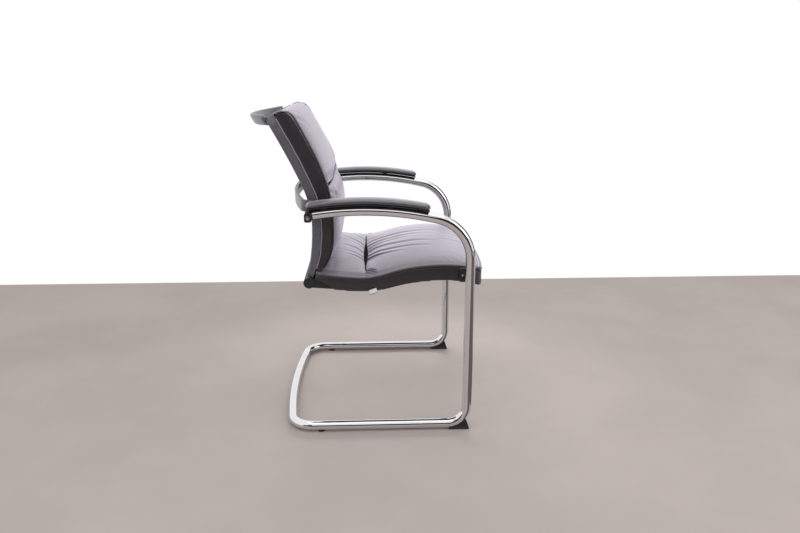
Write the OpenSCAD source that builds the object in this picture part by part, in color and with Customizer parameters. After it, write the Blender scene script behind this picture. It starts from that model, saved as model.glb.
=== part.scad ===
// Cantilever lounge chair: a bent steel tube carries a seat and a back that move together.
// The sitter faces +X. Left is +Y, right is -Y, and the floor is at z = 0.

/* [Steel tube] */
// Outer diameter of the tube
tube_d = 25; // [20:0.5:30]
// Wall thickness of the tube
tube_wall = 2; // [1.2:0.1:3]
// Side of the seat out to the axis of the tube
side_room = 42; // [36:1:60]
// Middle of the chair to the axis of the uprights
upright_x = 258; // [250:1:280]
// Floor to the axis of the arm at the crown of its arch
arm_crown_z = 598; // [585:1:640]
// Rear reach of the crown of the arch from the upright
arm_crown_back = 271.5; // [250:0.5:290]
// Radius of the shallow arch of the arm
arm_arch_r = 814; // [700:1:1100]
// Radius of the bend from the arm down to the upright
arm_bend_r = 110; // [90:1:130]
// Rear reach of the arm tube from the upright
arm_reach = 393; // [380:1:405]
// Radius of the bend from the upright to the base
base_bend_r = 52; // [42:1:70]
// Rear reach of the base from the upright, at the middle of the cross run
base_reach = 484; // [440:1:520]
// Radius of the bowed cross run at the rear of the base
base_bow_r = 1800; // [1200:10:3000]
// Radius of the rear corners of the base
base_corner_r = 62; // [45:1:80]

/* [Feet] */
// Floor to the underside of the base tube
foot_h = 2; // [1:0.5:5]
// Length of the wedge foot on the floor
foot_len = 55; // [45:1:70]
// Width of the wedge foot
foot_w = 22; // [16:1:28]
// Height of the top of the wedge foot
foot_rise = 26; // [20:1:34]
// Diameter of the rear glides
glide_d = 20; // [14:1:26]

/* [Arm pads] */
// Clear gap between the tube and the stiff base of the pad
pad_gap = 3.5; // [2:0.5:8]
// Thickness of the stiff base
pad_base_t = 2.5; // [2:0.5:5]
// Width of the leather pad
pad_w = 50; // [40:1:60]
// Thickness of the leather pad at its edge
pad_t = 11; // [8:0.5:20]
// Height of the crown of the pad above its edge
pad_crown = 3; // [1:0.5:6]
// Rear end of the pad behind the crown of the arch, along the arch
pad_rear_angle = 9.6; // [8:0.1:10]
// Front end of the pad before the crown of the arch, along the arch
pad_front_angle = 11.7; // [9:0.1:12]

/* [Joint of the arm and the back] */
// Axis of the back behind the end of the arm tube
pivot_back = 12; // [10:0.5:16]
// Axis of the back below the axis of the arm tube at its end
pivot_drop = 7; // [4:0.5:10]
// Diameter of the pivot pins
pivot_d = 8; // [6:0.5:10]
// Furthest angle that the back leans from rest
recline = 6; // [2:0.5:8]
// Rear reach of the bowed brace from the axis of the back
brace_reach = 50; // [46:1:60]
// Height of the bowed brace
brace_h = 29; // [24:1:36]
// Thickness of the bowed brace
brace_t = 8; // [5:0.5:9]

/* [Hinge of the seat and the back] */
// Reach of the hinge of the seat and back behind the rear ends of the arms
hinge_reach = 19; // [15:1:25]
// Axis of the hinge above the floor
hinge_z = 400; // [380:1:410]
// Outer diameter of the barrel
barrel_d = 29; // [24:0.5:32]
// Diameter of the steel rod
rod_d = 12; // [8:0.5:14]

/* [Back] */
// Side of the seat in to the side of the moulded back frame
back_step = 15; // [12:1:30]
// Heading of the lower back frame, from level
back_heading = 77; // [74:0.5:82]
// Length of the lumbar run of the frame
lumbar_len = 130; // [120:1:140]
// Length of the bend above it
bend_len = 105; // [95:1:115]
// Length of the upper run
upper_len = 189; // [150:1:210]
// Lean of the upper back from upright at its foot
back_lean = 24; // [18:0.5:28]
// Extra lean gained along the upper run
upper_curl = 6; // [2:0.5:10]
// Depth of the side flange of the back frame
flange_depth = 23; // [18:0.5:28]
// Wall thickness of the moulded frame
shell_wall = 4; // [3:0.5:6]
// Depth of the padded back at the lumbar, from the rear of the frame
lumbar_depth = 51; // [46:0.5:58]
// Depth of the padded back near the top
upper_depth = 61; // [54:0.5:68]
// Radius of the top edge of the padded back
top_round_r = 24; // [18:0.5:28]
// Crown of the upper cushion
upper_crown = 15; // [6:0.5:22]
// Crown of the lumbar cushion
lumbar_crown = 22; // [8:0.5:26]

/* [Grab handle] */
// Side of the back frame in to the root of the handle
handle_step = 22; // [18:1:50]
// Rear reach of the handle from its roots
handle_reach = 57; // [50:1:85]
// Height of the handle band
handle_h = 29; // [22:1:36]
// Thickness of the handle band
handle_t = 11; // [8:0.5:14]

/* [Seat] */
// Half width of the seat over its border
seat_half_w = 237; // [225:1:240]
// Middle of the chair to the front of the seat
seat_front_x = 312; // [300:1:320]
// Height of the leather border
border_h = 37; // [32:0.5:42]
// Thickness of the leather border
border_t = 9; // [6:0.5:12]
// Radius of the front corners of the seat in plan
seat_corner_r = 42; // [30:1:60]
// Radius of the bowed front edge in plan
seat_bow_r = 1580; // [1200:10:3000]
// Length of the rear run of the seat
seat_rear_len = 103; // [95:1:110]
// Crown of the rear seat cushion
seat_rear_crown = 9; // [6:0.5:18]
// Crown of the front seat cushion
seat_front_crown = 20; // [8:0.5:26]
// Diameter of the pins that carry the front of the seat
seat_pin_d = 8; // [6:0.5:9]
// Radius of the piping on the seat and the back
piping_r = 2.6; // [2:0.1:3.5]

/* [Hidden] */
$fn = 64;
arc_fn = 256;

// Clearances, the overrun of cuts, and the smallest radius and turn that count
seat_gap = 0.3;
run_gap = 0.05;
overrun = 20;
least_r = 1;
least_turn = 0.001;

// Half widths that follow the seat
frame_half_w = seat_half_w + side_room;
back_half_w = seat_half_w - back_step;
handle_half_w = back_half_w - handle_step;

// Derived places of the tube
tube_r = tube_d / 2;
base_z = foot_h + tube_r;
crown_x = upright_x - arm_crown_back;
arch_c = [crown_x, arm_crown_z - arm_arch_r];
bend_span = arm_arch_r - arm_bend_r;
bend_c_x = upright_x - arm_bend_r;
bend_angle = acos((bend_c_x - crown_x) / bend_span);
bend_c = [bend_c_x, arch_c.y + bend_span * sin(bend_angle)];
base_bend_c = [upright_x - base_bend_r, base_z + base_bend_r];
arm_end_x = upright_x - arm_reach;
arm_end_angle = acos((arm_end_x - arch_c.x) / arm_arch_r);
arm_end_z = arch_c.y + arm_arch_r * sin(arm_end_angle);
bow_c_x = upright_x - base_reach + base_bow_r;
corner_y = frame_half_w - base_corner_r;
corner_x = bow_c_x - sqrt(pow(base_bow_r - base_corner_r, 2) - pow(corner_y, 2));
bow_angle = asin(corner_y / (base_bow_r - base_corner_r));

// The tube is a hair thicker where two bends of different radius meet
bend_mark_rise = 0.05;
bend_mark_len = 1;

// Axis of the back, axis of the hinge, and the path that the seat follows
pivot = [arm_end_x - pivot_back, arm_end_z - pivot_drop];
hinge = [arm_end_x - hinge_reach, hinge_z];
swing = [pivot.x - hinge.x, pivot.y - hinge.y];
swing_r = norm(swing);
swing_rest = atan2(-swing.y, -swing.x);

// Joint pieces at the arm ends
head_len = 18;
head_h = 22;
head_round = 5;
head_in = 17;
head_out = 9;
plug_len = 32;
collar_len = 7;
pin_head_r_share = 0.62;
pin_head_t = 2;

// Lugs of the back frame
lug_t = 5;
lug_r = 8;
lug_h = 16;
lug_reach = 30;

// Brace between the joint pieces
brace_clear = 1;
brace_corner_r = 24;
brace_inset = 29;
brace_side = frame_half_w - brace_inset;
brace_eye_r = 10.5;
brace_strap_w = 18;
brace_low = pivot.y + lug_h / 2 + brace_clear;
brace_mid_x = pivot.x - brace_reach;
brace_bow_r = 830;
brace_bow_c = brace_mid_x + brace_bow_r;
brace_corner_y = brace_side - brace_corner_r;
brace_corner_x = brace_bow_c - sqrt(pow(brace_bow_r - brace_corner_r, 2) - pow(brace_corner_y, 2));
brace_angle = asin(brace_corner_y / (brace_bow_r - brace_corner_r));
brace_steps = 24;

// Walk along a chain of arcs. A row is [length, turn] and a place is [x, z, heading].
function arc_end(p, len, turn) =
    abs(turn) < least_turn ? [p[0] + len * cos(p[2]), p[1] + len * sin(p[2]), p[2]]
    : let (r = len * 180 / (turn * PI))
      [p[0] + r * (sin(p[2] + turn) - sin(p[2])), p[1] - r * (cos(p[2] + turn) - cos(p[2])), p[2] + turn];
function walk(p, rows, s, i = 0) =
    let (row = rows[i])
    (i == len(rows) - 1 || s <= row[0]) ? arc_end(p, s, row[1] * s / row[0])
    : walk(arc_end(p, row[0], row[1]), rows, s - row[0], i + 1);
function beside(p, d, side) = [p[0] + d * cos(p[2] + side), p[1] + d * sin(p[2] + side)];
function ramp(v) = let (t = min(1, max(0, v))) t * t * (3 - 2 * t);
function round_in(d, r) = d >= r ? 1 : sqrt(max(0, 1 - pow((r - d) / r, 2)));
function spread(i, n) = (1 - cos(180 * i / n)) / 2;

// Back frame: rear surface of the moulding, from its foot upward
frame_foot_back = 4;
frame_foot_rise = 18;
shell_start = [hinge.x - frame_foot_back, hinge.y + frame_foot_rise, back_heading];
shell_rows = [[lumbar_len, 90 - back_heading], [bend_len, back_lean], [upper_len, upper_curl]];
shell_len = lumbar_len + bend_len + upper_len;
function shell_pt(s, d) = beside(walk(shell_start, shell_rows, s), d, -90);

// Padded face of the back: depth over the frame, and the round top
lip_depth = 14;
lip_run = 72;
frame_low = -12;
foot_run = 90;
foot_lift = 6;
foot_curve = 1.5;
top_drop = 33;
face_len = shell_len - top_drop;
depth_rise = 170;
top_wrap_angle = 113;
top_wrap_len = top_round_r * top_wrap_angle * PI / 180;
function flange_at(s) = lip_depth + (flange_depth - lip_depth) * min(1, max(0, (s - frame_low) / lip_run));
function depth_at(s) =
    let (full = lumbar_depth + (upper_depth - lumbar_depth) * ramp((s - lumbar_len) / depth_rise),
         base = flange_at(s) + seat_gap)
    base + (full - base) * pow(round_in(s - foot_lift, foot_run), foot_curve);
function face_base(s) =
    s <= face_len ? shell_pt(s, depth_at(s))
    : let (a = (s - face_len) * 180 / (top_round_r * PI), h = walk(shell_start, shell_rows, face_len)[2],
           c = shell_pt(face_len, depth_at(face_len) - top_round_r))
      [c.x + top_round_r * cos(h - 90 + a), c.y + top_round_r * sin(h - 90 + a)];
face_step = 1;
function face_heading(s) =
    let (a = face_base(s - face_step / 2), b = face_base(s + face_step / 2)) atan2(b.y - a.y, b.x - a.x);
function face_pt(s, d) = let (p = face_base(s)) beside([p.x, p.y, face_heading(s)], d, -90);

// Seat: middle line of the border, from the rear forward
seat_foot_fore = 21;
seat_foot_rise = 8;
seat_heading = -8;
seat_start = [hinge.x + seat_foot_fore, hinge.y + seat_foot_rise, seat_heading];
seat_dip = 4;
seat_rise = 19.5;
seat_nose = 22;
seat_rise_len = 85;
seat_level_short = 28;
seat_level_len = upright_x - hinge.x - seat_foot_fore - seat_rear_len - seat_rise_len - seat_level_short;
seat_nose_len = 75;
seat_rows = [[seat_rear_len, seat_dip], [seat_rise_len, seat_rise], [seat_level_len, -seat_rise],
             [seat_nose_len, -seat_nose]];
seat_len = seat_rear_len + seat_rise_len + seat_level_len + seat_nose_len;
half_border = border_h / 2;
function seat_pt(s, d) = beside(walk(seat_start, seat_rows, s), d, 90);
search_steps = 16;
function seat_s(x, d, lo = 0, hi = seat_len + 2 * overrun, n = search_steps) =
    let (mid = (lo + hi) / 2)
    n == 0 ? mid : seat_pt(mid, d).x < x ? seat_s(x, d, mid, hi, n - 1) : seat_s(x, d, lo, mid, n - 1);
function seat_z(x, d) = seat_pt(seat_s(x, d), d).y;

// Outline of the seat in plan, as [x, y, heading of its normal]
seat_bow_c = seat_front_x - seat_bow_r;
seat_corner_y = seat_half_w - seat_corner_r;
seat_corner_x = seat_bow_c + sqrt(pow(seat_bow_r - seat_corner_r, 2) - pow(seat_corner_y, 2));
seat_bow_angle = asin(seat_corner_y / (seat_bow_r - seat_corner_r));
corner_steps = 8;
bow_steps = 6;
function seat_corner_pt(a, inset, side) =
    [seat_corner_x + (seat_corner_r - inset) * cos(a), side * seat_corner_y + (seat_corner_r - inset) * sin(a), a];
function seat_front_line(inset) = concat(
    [for (i = [0:corner_steps]) seat_corner_pt(-90 + (90 - seat_bow_angle) * i / corner_steps, inset, -1)],
    [for (i = [1:bow_steps - 1]) let (a = seat_bow_angle * (2 * i / bow_steps - 1))
        [seat_bow_c + (seat_bow_r - inset) * cos(a), (seat_bow_r - inset) * sin(a), a]],
    [for (i = [0:corner_steps]) seat_corner_pt(seat_bow_angle + (90 - seat_bow_angle) * i / corner_steps, inset, 1)]);
function seat_edge_x(y, inset) =
    let (r = seat_corner_r - inset, b = abs(y) - seat_corner_y, bow = sqrt(pow(seat_bow_r - inset, 2) - y * y))
    abs(y) <= (seat_bow_r - inset) * sin(seat_bow_angle) ? seat_bow_c + bow
    : seat_corner_x + sqrt(max(0, r * r - b * b));

// Crease of the seat and of the back, and the cushion edges
seat_crease_reach = 145;
seat_crease_x = hinge.x + seat_crease_reach;
crease_gap = 3;
back_crease_reach = 86;
back_crease = lumbar_len + back_crease_reach;
cushion_inset = 2 * piping_r + 2 * seat_gap;
cushion_edge = 2.5;

// Front carriers of the seat
mount_pin_back = 14.5;
mount_pin = [upright_x - mount_pin_back, seat_z(upright_x - mount_pin_back, 0)];
mount_plate_t = 10;
mount_side_gap = 6;
mount_wall = 6;
mount_round = 4;
mount_h = 36;
slot_gap = 0.09;

// Points of a strip between two offsets of the seat or of the frame
strip_steps = 30;
function seat_line(s0, s1, d, n = strip_steps) = [for (i = [0:n]) seat_pt(s0 + (s1 - s0) * i / n, d)];
function shell_line(s0, s1, d, n = strip_steps) = [for (i = [0:n]) shell_pt(s0 + (s1 - s0) * i / n, d)];

// Raise an outline in the side plane to a body between two places across the chair
module across(y0, y1) {
    translate([0, max(y0, y1), 0])
        rotate([90, 0, 0])
            linear_extrude(height = abs(y1 - y0))
                children();
}

// Raise an outline in the floor plane
module upward(z0, z1) {
    translate([0, 0, z0])
        linear_extrude(height = z1 - z0)
            children();
}

// Sweep a profile on an arc in the side plane, or in the floor plane
module side_arc(c, r, a0, a1, y) {
    translate([c.x, y, c.y])
        rotate([90, 0, 0])
            rotate([0, 0, a0])
                rotate_extrude(angle = a1 - a0, $fn = arc_fn)
                    translate([r, 0])
                        children();
}
module floor_arc(c, r, a0, a1, z) {
    translate([c.x, c.y, z])
        rotate([0, 0, a0])
            rotate_extrude(angle = a1 - a0, $fn = arc_fn)
                translate([r, 0])
                    children();
}

// A body through a list of rings of the same length, closed at both ends
module loft(rings) {
    m = len(rings[0]);
    n = len(rings);
    caps = [for (k = [0, n - 1]) [for (c = [0:2]) [for (p = rings[k]) p[c]] * [for (p = rings[k]) 1 / m]]];
    points = concat([for (ring = rings) for (p = ring) p], caps);
    sides = [for (i = [0:n - 2]) for (j = [0:m - 1]) let (k = (j + 1) % m)
        each [[i * m + j, i * m + k, (i + 1) * m + k], [i * m + j, (i + 1) * m + k, (i + 1) * m + j]]];
    first = [for (j = [0:m - 1]) [n * m, (j + 1) % m, j]];
    last = [for (j = [0:m - 1]) [n * m + 1, (n - 1) * m + j, (n - 1) * m + (j + 1) % m]];
    polyhedron(points, concat(sides, first, last));
}

// A closed cushion between two grids of the same size, rows along the chair and columns across it
module quilt(top, under) {
    nu = len(top);
    nv = len(top[0]);
    all = nu * nv;
    points = concat([for (row = top) for (p = row) p], [for (row = under) for (p = row) p]);
    faces = [for (i = [0:nu - 2]) for (j = [0:nv - 2]) let (a = i * nv + j, b = a + 1, c = a + nv, d = c + 1)
        each [[a, b, d], [a, d, c], [all + a, all + d, all + b], [all + a, all + c, all + d]]];
    ends = [for (j = [0:nv - 2]) for (i = [0, nu - 1]) let (a = i * nv + j, b = a + 1)
        each i == 0 ? [[a, all + b, b], [a, all + a, all + b]] : [[a, b, all + b], [a, all + b, all + a]]];
    sides = [for (i = [0:nu - 2]) for (j = [0, nv - 1]) let (a = i * nv + j, c = a + nv)
        each j == 0 ? [[a, c, all + c], [a, all + c, all + a]] : [[a, all + c, c], [a, all + a, all + c]]];
    polyhedron(points, concat(faces, ends, sides));
}

// Rise of a cushion at shares u along it and v across it: drawn in at its edges, full in the middle
edge_power = 5;
crown_share = 0.45;
function pillow(u, v) =
    let (a = 1 - pow(abs(2 * u - 1), edge_power), b = 1 - pow(abs(v), edge_power),
         mid = (1 - pow(2 * u - 1, 2)) * (1 - v * v))
    sqrt(max(0, a * b)) * (1 - crown_share) + crown_share * mid;

// Steel tube

module tube_side() {
    side_arc(arch_c, arm_arch_r, bend_angle, arm_end_angle, frame_half_w)
        children();
    side_arc(bend_c, arm_bend_r, 0, bend_angle, frame_half_w)
        children();
    translate([upright_x, frame_half_w, base_bend_c.y])
        linear_extrude(height = bend_c.y - base_bend_c.y)
            children();
    tube_foot_side()
        children();
    floor_arc([corner_x, corner_y], base_corner_r, 90, 180 - bow_angle, base_z)
        children();
}

module tube_foot_side() {
    side_arc(base_bend_c, base_bend_r, -90, 0, frame_half_w)
        children();
    translate([corner_x, frame_half_w, base_z])
        rotate([0, 90, 0])
            linear_extrude(height = base_bend_c.x - corner_x)
                children();
}

module tube_wall_profile() {
    difference() {
        circle(r = tube_r);
        circle(r = tube_r - tube_wall);
    }
}

module bend_mark_profile() {
    difference() {
        circle(r = tube_r + bend_mark_rise);
        circle(r = tube_r - tube_wall - bend_mark_rise);
    }
}

module hollow_side() {
    arm_mark = 180 * bend_mark_len / (PI * arm_arch_r);
    base_mark = 180 * bend_mark_len / (PI * base_bow_r);
    tube_side()
        tube_wall_profile();
    side_arc(arch_c, arm_arch_r, bend_angle - arm_mark, bend_angle + arm_mark, frame_half_w)
        bend_mark_profile();
    floor_arc([bow_c_x, 0], base_bow_r, 180 - bow_angle - base_mark, 180 - bow_angle + base_mark, base_z)
        bend_mark_profile();
}

module frame_tube() {
    color("silver") {
        hollow_side();
        mirror([0, 1, 0])
            hollow_side();
        floor_arc([bow_c_x, 0], base_bow_r, 180 - bow_angle, 180 + bow_angle, base_z)
            tube_wall_profile();
    }
}

// Feet

foot_front_back = 5;
foot_top_back = 9;

module front_foot() {
    tip_x = upright_x + tube_r - foot_front_back;
    color([0.07, 0.07, 0.08])
        difference() {
            across(frame_half_w - foot_w / 2, frame_half_w + foot_w / 2)
                polygon([[tip_x - foot_len, 0], [tip_x, 0], [tip_x - foot_top_back, foot_rise],
                         [tip_x - foot_len, base_z]]);
            tube_foot_side()
                circle(r = tube_r + seat_gap);
        }
}

module rear_glide() {
    grip_h = foot_h + tube_r / 2;
    color([0.07, 0.07, 0.08])
        difference() {
            translate([corner_x + glide_d, frame_half_w, 0])
                cylinder(d = glide_d, h = grip_h);
            tube_foot_side()
                circle(r = tube_r + seat_gap);
        }
}

// Arm pads

boss_len = 13;
boss_w = 14;
boss_places = [68, -95];
pad_base_inset = 3;
pad_steps = 24;
pad_sides = 20;
pad_end_round = 22;
pad_square = 2.6;

module arm_base() {
    r0 = arm_arch_r + tube_r + pad_gap;
    end_trim = 180 * pad_base_inset / (PI * r0);
    w = pad_w / 2 - pad_base_inset;
    color([0.08, 0.08, 0.09]) {
        side_arc(arch_c, 0, 90 - pad_front_angle + end_trim, 90 + pad_rear_angle - end_trim, frame_half_w)
            translate([r0, -w])
                square([pad_base_t, 2 * w]);
        difference() {
            for (place = boss_places)
                translate([crown_x + place - boss_len / 2, frame_half_w - boss_w / 2, arm_crown_z - tube_r])
                    cube([boss_len, boss_w, 2 * tube_r + pad_gap]);
            side_arc(arch_c, arm_arch_r, bend_angle, arm_end_angle, frame_half_w)
                circle(r = tube_r + seat_gap);
            side_arc(arch_c, 0, 90 - pad_front_angle, 90 + pad_rear_angle, frame_half_w)
                translate([r0 + pad_base_t / 2, -overrun])
                    square([overrun, 2 * overrun]);
            side_arc(arch_c, 0, 90 - pad_front_angle, 90 + pad_rear_angle, frame_half_w)
                translate([arm_arch_r - 2 * overrun, -overrun])
                    square([2 * overrun, 2 * overrun]);
        }
    }
}

function pad_ring(t) =
    let (r0 = arm_arch_r + tube_r + pad_gap + pad_base_t + seat_gap,
         len = (pad_front_angle + pad_rear_angle) * PI / 180 * r0,
         d = len * min(t, 1 - t), a = 90 + pad_rear_angle - (pad_front_angle + pad_rear_angle) * t,
         wide = pad_w / 2 * (1 - pad_end_round / pad_w * 2 * (1 - round_in(d, pad_end_round))),
         tall = max(cushion_edge, pad_t * round_in(d, pad_t)))
    [for (j = [0:pad_sides - 1])
        let (q = -360 * j / pad_sides, e = 2 / pad_square,
             y = wide * sign(cos(q)) * pow(abs(cos(q)), e),
             side = tall / 2 * sign(sin(q)) * pow(abs(sin(q)), e),
             up = side > 0 ? pad_crown * tall / pad_t * (1 - pow(y / wide, 2)) : 0,
             r = r0 + tall / 2 + side + up)
        [arch_c.x + r * cos(a), frame_half_w + y, arch_c.y + r * sin(a)]];

module arm_pad() {
    color([0.1, 0.09, 0.11])
        loft([for (i = [0:pad_steps]) pad_ring(spread(i, pad_steps))]);
}

// Joint pieces, pins and brace

module rounded_rect(cx, cz, w, h, r) {
    translate([cx - w / 2 + r, cz - h / 2])
        square([w - 2 * r, h]);
    translate([cx - w / 2, cz - h / 2 + r])
        square([w, h - 2 * r]);
    for (i = [-1, 1])
        for (j = [-1, 1])
            translate([cx + i * (w / 2 - r), cz + j * (h / 2 - r)])
                circle(r = r);
}

module arm_joint() {
    plug_angle = 180 * plug_len / (PI * arm_arch_r);
    collar_angle = 180 * collar_len / (PI * arm_arch_r);
    face_angle = 180 * seat_gap / (PI * arm_arch_r);
    color([0.06, 0.06, 0.07])
        difference() {
            union() {
                side_arc(arch_c, arm_arch_r, arm_end_angle - plug_angle, arm_end_angle + collar_angle, frame_half_w)
                    circle(r = tube_r - tube_wall - seat_gap);
                side_arc(arch_c, arm_arch_r, arm_end_angle + face_angle, arm_end_angle + collar_angle, frame_half_w)
                    circle(r = tube_r);
                across(frame_half_w - head_in, frame_half_w + head_out)
                    rounded_rect(pivot.x, pivot.y, head_len, head_h, head_round);
            }
            across(frame_half_w - head_in - overrun, frame_half_w + head_out + overrun)
                translate(pivot)
                    circle(d = pivot_d + 2 * run_gap);
        }
}

module pivot_pin() {
    color([0.8, 0.8, 0.82]) {
        across(back_half_w + seat_gap, frame_half_w + head_out + seat_gap)
            translate(pivot)
                circle(d = pivot_d);
        across(frame_half_w + head_out + seat_gap, frame_half_w + head_out + seat_gap + pin_head_t)
            translate(pivot)
                circle(r = pivot_d * pin_head_r_share);
    }
}

function brace_corner_pt(a, d, side) =
    [brace_corner_x + (brace_corner_r + d) * cos(a), side * (brace_corner_y + (brace_corner_r + d) * sin(a))];
function brace_line(d) = concat(
    [for (i = [0:corner_steps]) brace_corner_pt(90 + (90 - brace_angle) * i / corner_steps, d, 1)],
    [for (i = [1:brace_steps - 1]) let (a = 180 - brace_angle + 2 * brace_angle * i / brace_steps)
        [brace_bow_c + (brace_bow_r + d) * cos(a), (brace_bow_r + d) * sin(a)]],
    [for (i = [corner_steps:-1:0]) brace_corner_pt(90 + (90 - brace_angle) * i / corner_steps, d, -1)]);

module brace_eye() {
    across(brace_side - brace_t / 2, frame_half_w - head_in - seat_gap)
        translate(pivot)
            circle(r = brace_eye_r);
    across(brace_side - brace_t / 2, brace_side + brace_t / 2)
        translate([pivot.x - brace_strap_w / 2, pivot.y])
            square([brace_strap_w, lug_h / 2 + brace_clear + brace_h]);
}

module rear_brace() {
    color([0.32, 0.32, 0.36])
        difference() {
            union() {
                outer = brace_line(brace_t / 2);
                inner = brace_line(-brace_t / 2);
                upward(brace_low, brace_low + brace_h)
                    polygon(concat(outer, [for (i = [len(inner) - 1:-1:0]) inner[i]]));
                brace_eye();
                mirror([0, 1, 0])
                    brace_eye();
            }
            across(-frame_half_w, frame_half_w)
                translate(pivot)
                    circle(d = pivot_d + 2 * run_gap);
        }
}

// Blocks on the uprights that carry the seat pins

module slot_outline(r) {
    c = [mount_pin.x + swing.x, mount_pin.y + swing.y];
    for (a = [0, recline])
        translate([c.x + swing_r * cos(swing_rest + a), c.y + swing_r * sin(swing_rest + a)])
            circle(r = r);
    intersection() {
        translate(c)
            difference() {
                circle(r = swing_r + r, $fn = arc_fn);
                circle(r = swing_r - r, $fn = arc_fn);
            }
        polygon([c, [c.x + 2 * swing_r * cos(swing_rest), c.y + 2 * swing_r * sin(swing_rest)],
                 [c.x + 2 * swing_r * cos(swing_rest + recline), c.y + 2 * swing_r * sin(swing_rest + recline)]]);
    }
}

module seat_mount() {
    travel = swing_r * sin(recline);
    plate_x0 = mount_pin.x - seat_pin_d / 2 - mount_wall;
    plate_x1 = max(upright_x + tube_r, mount_pin.x + travel + seat_pin_d / 2 + mount_wall);
    plate_y = seat_half_w + mount_side_gap;
    color([0.06, 0.06, 0.07])
        difference() {
            union() {
                across(plate_y, plate_y + mount_plate_t)
                    rounded_rect((plate_x0 + plate_x1) / 2, mount_pin.y, plate_x1 - plate_x0, mount_h, mount_round);
                across(plate_y + mount_plate_t, frame_half_w)
                    rounded_rect(upright_x, mount_pin.y, tube_d - mount_round, mount_h - mount_round, mount_round);
            }
            across(plate_y - overrun, plate_y + mount_plate_t)
                slot_outline(seat_pin_d / 2 + slot_gap);
            translate([upright_x, frame_half_w, mount_pin.y - mount_h])
                cylinder(r = tube_r + seat_gap, h = 2 * mount_h);
        }
}

// Back frame, handle and hinge

frame_rear_r = 9;
frame_top_r = 30;
frame_steps = 22;
frame_arc_steps = 4;
pocket_lift = 16;
ring_power = 1.5;

function ring_place(s0, s1, i) = s0 + (s1 - s0) * (1 - pow(1 - i / frame_steps, ring_power));

function frame_ring(s, inset, d0) =
    let (top = shell_len - inset, r = max(least_r, frame_top_r - inset),
         w = back_half_w - inset - r + r * round_in(top - s + least_r, r),
         rr = max(least_r, frame_rear_r - inset), f = flange_at(s) + (inset > 0 ? overrun : 0),
         arc = [for (i = [0:frame_arc_steps]) let (a = 90 * i / frame_arc_steps)
             [w - rr + rr * cos(a), d0 + rr - rr * sin(a)]],
         half = concat([[w, f]], arc),
         n = len(half), full = concat([for (i = [0:n - 1]) [-half[i][0], half[i][1]]],
                                      [for (i = [n - 1:-1:0]) half[i]]))
    [for (q = full) let (p = shell_pt(s, q[1])) [p.x, q[0], p.y]];

module back_frame() {
    color([0.17, 0.17, 0.2])
        difference() {
            loft([for (i = [0:frame_steps]) frame_ring(ring_place(frame_low, shell_len, i), 0, 0)]);
            loft([for (i = [0:frame_steps])
                frame_ring(ring_place(pocket_lift, shell_len - shell_wall, i), shell_wall, shell_wall)]);
            across(-back_half_w - overrun, back_half_w + overrun)
                translate(hinge)
                    circle(d = barrel_d + 2 * seat_gap);
        }
}

module back_lug() {
    color([0.06, 0.06, 0.07])
        across(back_half_w + seat_gap, back_half_w + seat_gap + lug_t)
            difference() {
                union() {
                    translate(pivot)
                        circle(r = lug_r);
                    rounded_rect(pivot.x + lug_reach / 2, pivot.y, lug_reach, lug_h, head_round);
                }
                translate(pivot)
                    circle(d = pivot_d + 2 * run_gap);
            }
}

handle_tilt = -6;
handle_lean = 23;
handle_s = 6;

module grab_handle() {
    root = shell_pt(shell_len - handle_s, 0);
    r = (pow(handle_half_w, 2) + pow(handle_reach, 2)) / (2 * handle_reach);
    a = asin(handle_half_w / r);
    color([0.3, 0.3, 0.34])
        difference() {
            translate([root.x, 0, root.y])
                rotate([0, handle_tilt, 0])
                    translate([r - handle_reach, 0, 0])
                        rotate([0, 0, 180 - a])
                            rotate_extrude(angle = 2 * a)
                                translate([r, 0])
                                    rotate([0, 0, -handle_lean]) {
                                        translate([-handle_t / 2, -handle_h / 2 + handle_t / 2])
                                            square([handle_t, handle_h - handle_t]);
                                        for (side = [-1, 1])
                                            translate([0, side * (handle_h / 2 - handle_t / 2)])
                                                circle(d = handle_t);
                                    }
            across(-back_half_w, back_half_w)
                polygon(concat(shell_line(shell_len / 2, shell_len + 2 * overrun, -seat_gap),
                               shell_line(shell_len + 2 * overrun, shell_len / 2, 4 * overrun)));
        }
}

barrel_over = 4;
barrel_half_w = back_half_w + barrel_over;
cap_t = 2.5;
cap_step = 1;

module hinge_barrel() {
    color([0.06, 0.06, 0.07])
        across(-barrel_half_w, barrel_half_w)
            difference() {
                translate(hinge)
                    circle(d = barrel_d);
                translate(hinge)
                    circle(d = rod_d + 2 * run_gap);
            }
}

module hinge_rod() {
    color([0.7, 0.7, 0.72])
        across(-seat_half_w, seat_half_w)
            translate(hinge)
                circle(d = rod_d);
}

module hinge_cap() {
    color([0.05, 0.05, 0.06])
        across(seat_half_w + seat_gap, seat_half_w + seat_gap + cap_t)
            translate(hinge)
                circle(d = barrel_d - 2 * cap_step);
}

// Padded back

top_lift = 2;
wrap_steps = 8;
wrap_ease = 0.8;
gusset_t = 2.2;
gusset_step = 3;
core_half_w = back_half_w - gusset_step - gusset_t - seat_gap;
gusset_half_w = core_half_w + seat_gap + gusset_t;
function core_outline() = concat(
    [for (i = [0:strip_steps]) let (s = foot_lift + (shell_len - top_lift - foot_lift) * (1 - i / strip_steps))
        shell_pt(s, flange_at(s) + seat_gap)],
    [for (i = [1:strip_steps - 1]) face_pt(foot_lift + (face_len - foot_lift) * i / strip_steps, 0)],
    [for (i = [0:wrap_steps]) face_pt(face_len + top_wrap_len * i / wrap_steps, -wrap_ease)]);

module back_foam() {
    color([0.12, 0.11, 0.13])
        across(-core_half_w, core_half_w)
            polygon(core_outline());
}

module gusset() {
    color([0.09, 0.08, 0.1])
        across(core_half_w + seat_gap, gusset_half_w)
            polygon(core_outline());
}

piping_sides = 8;
back_piping_steps = 36;
back_piping_foot = 25;

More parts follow.
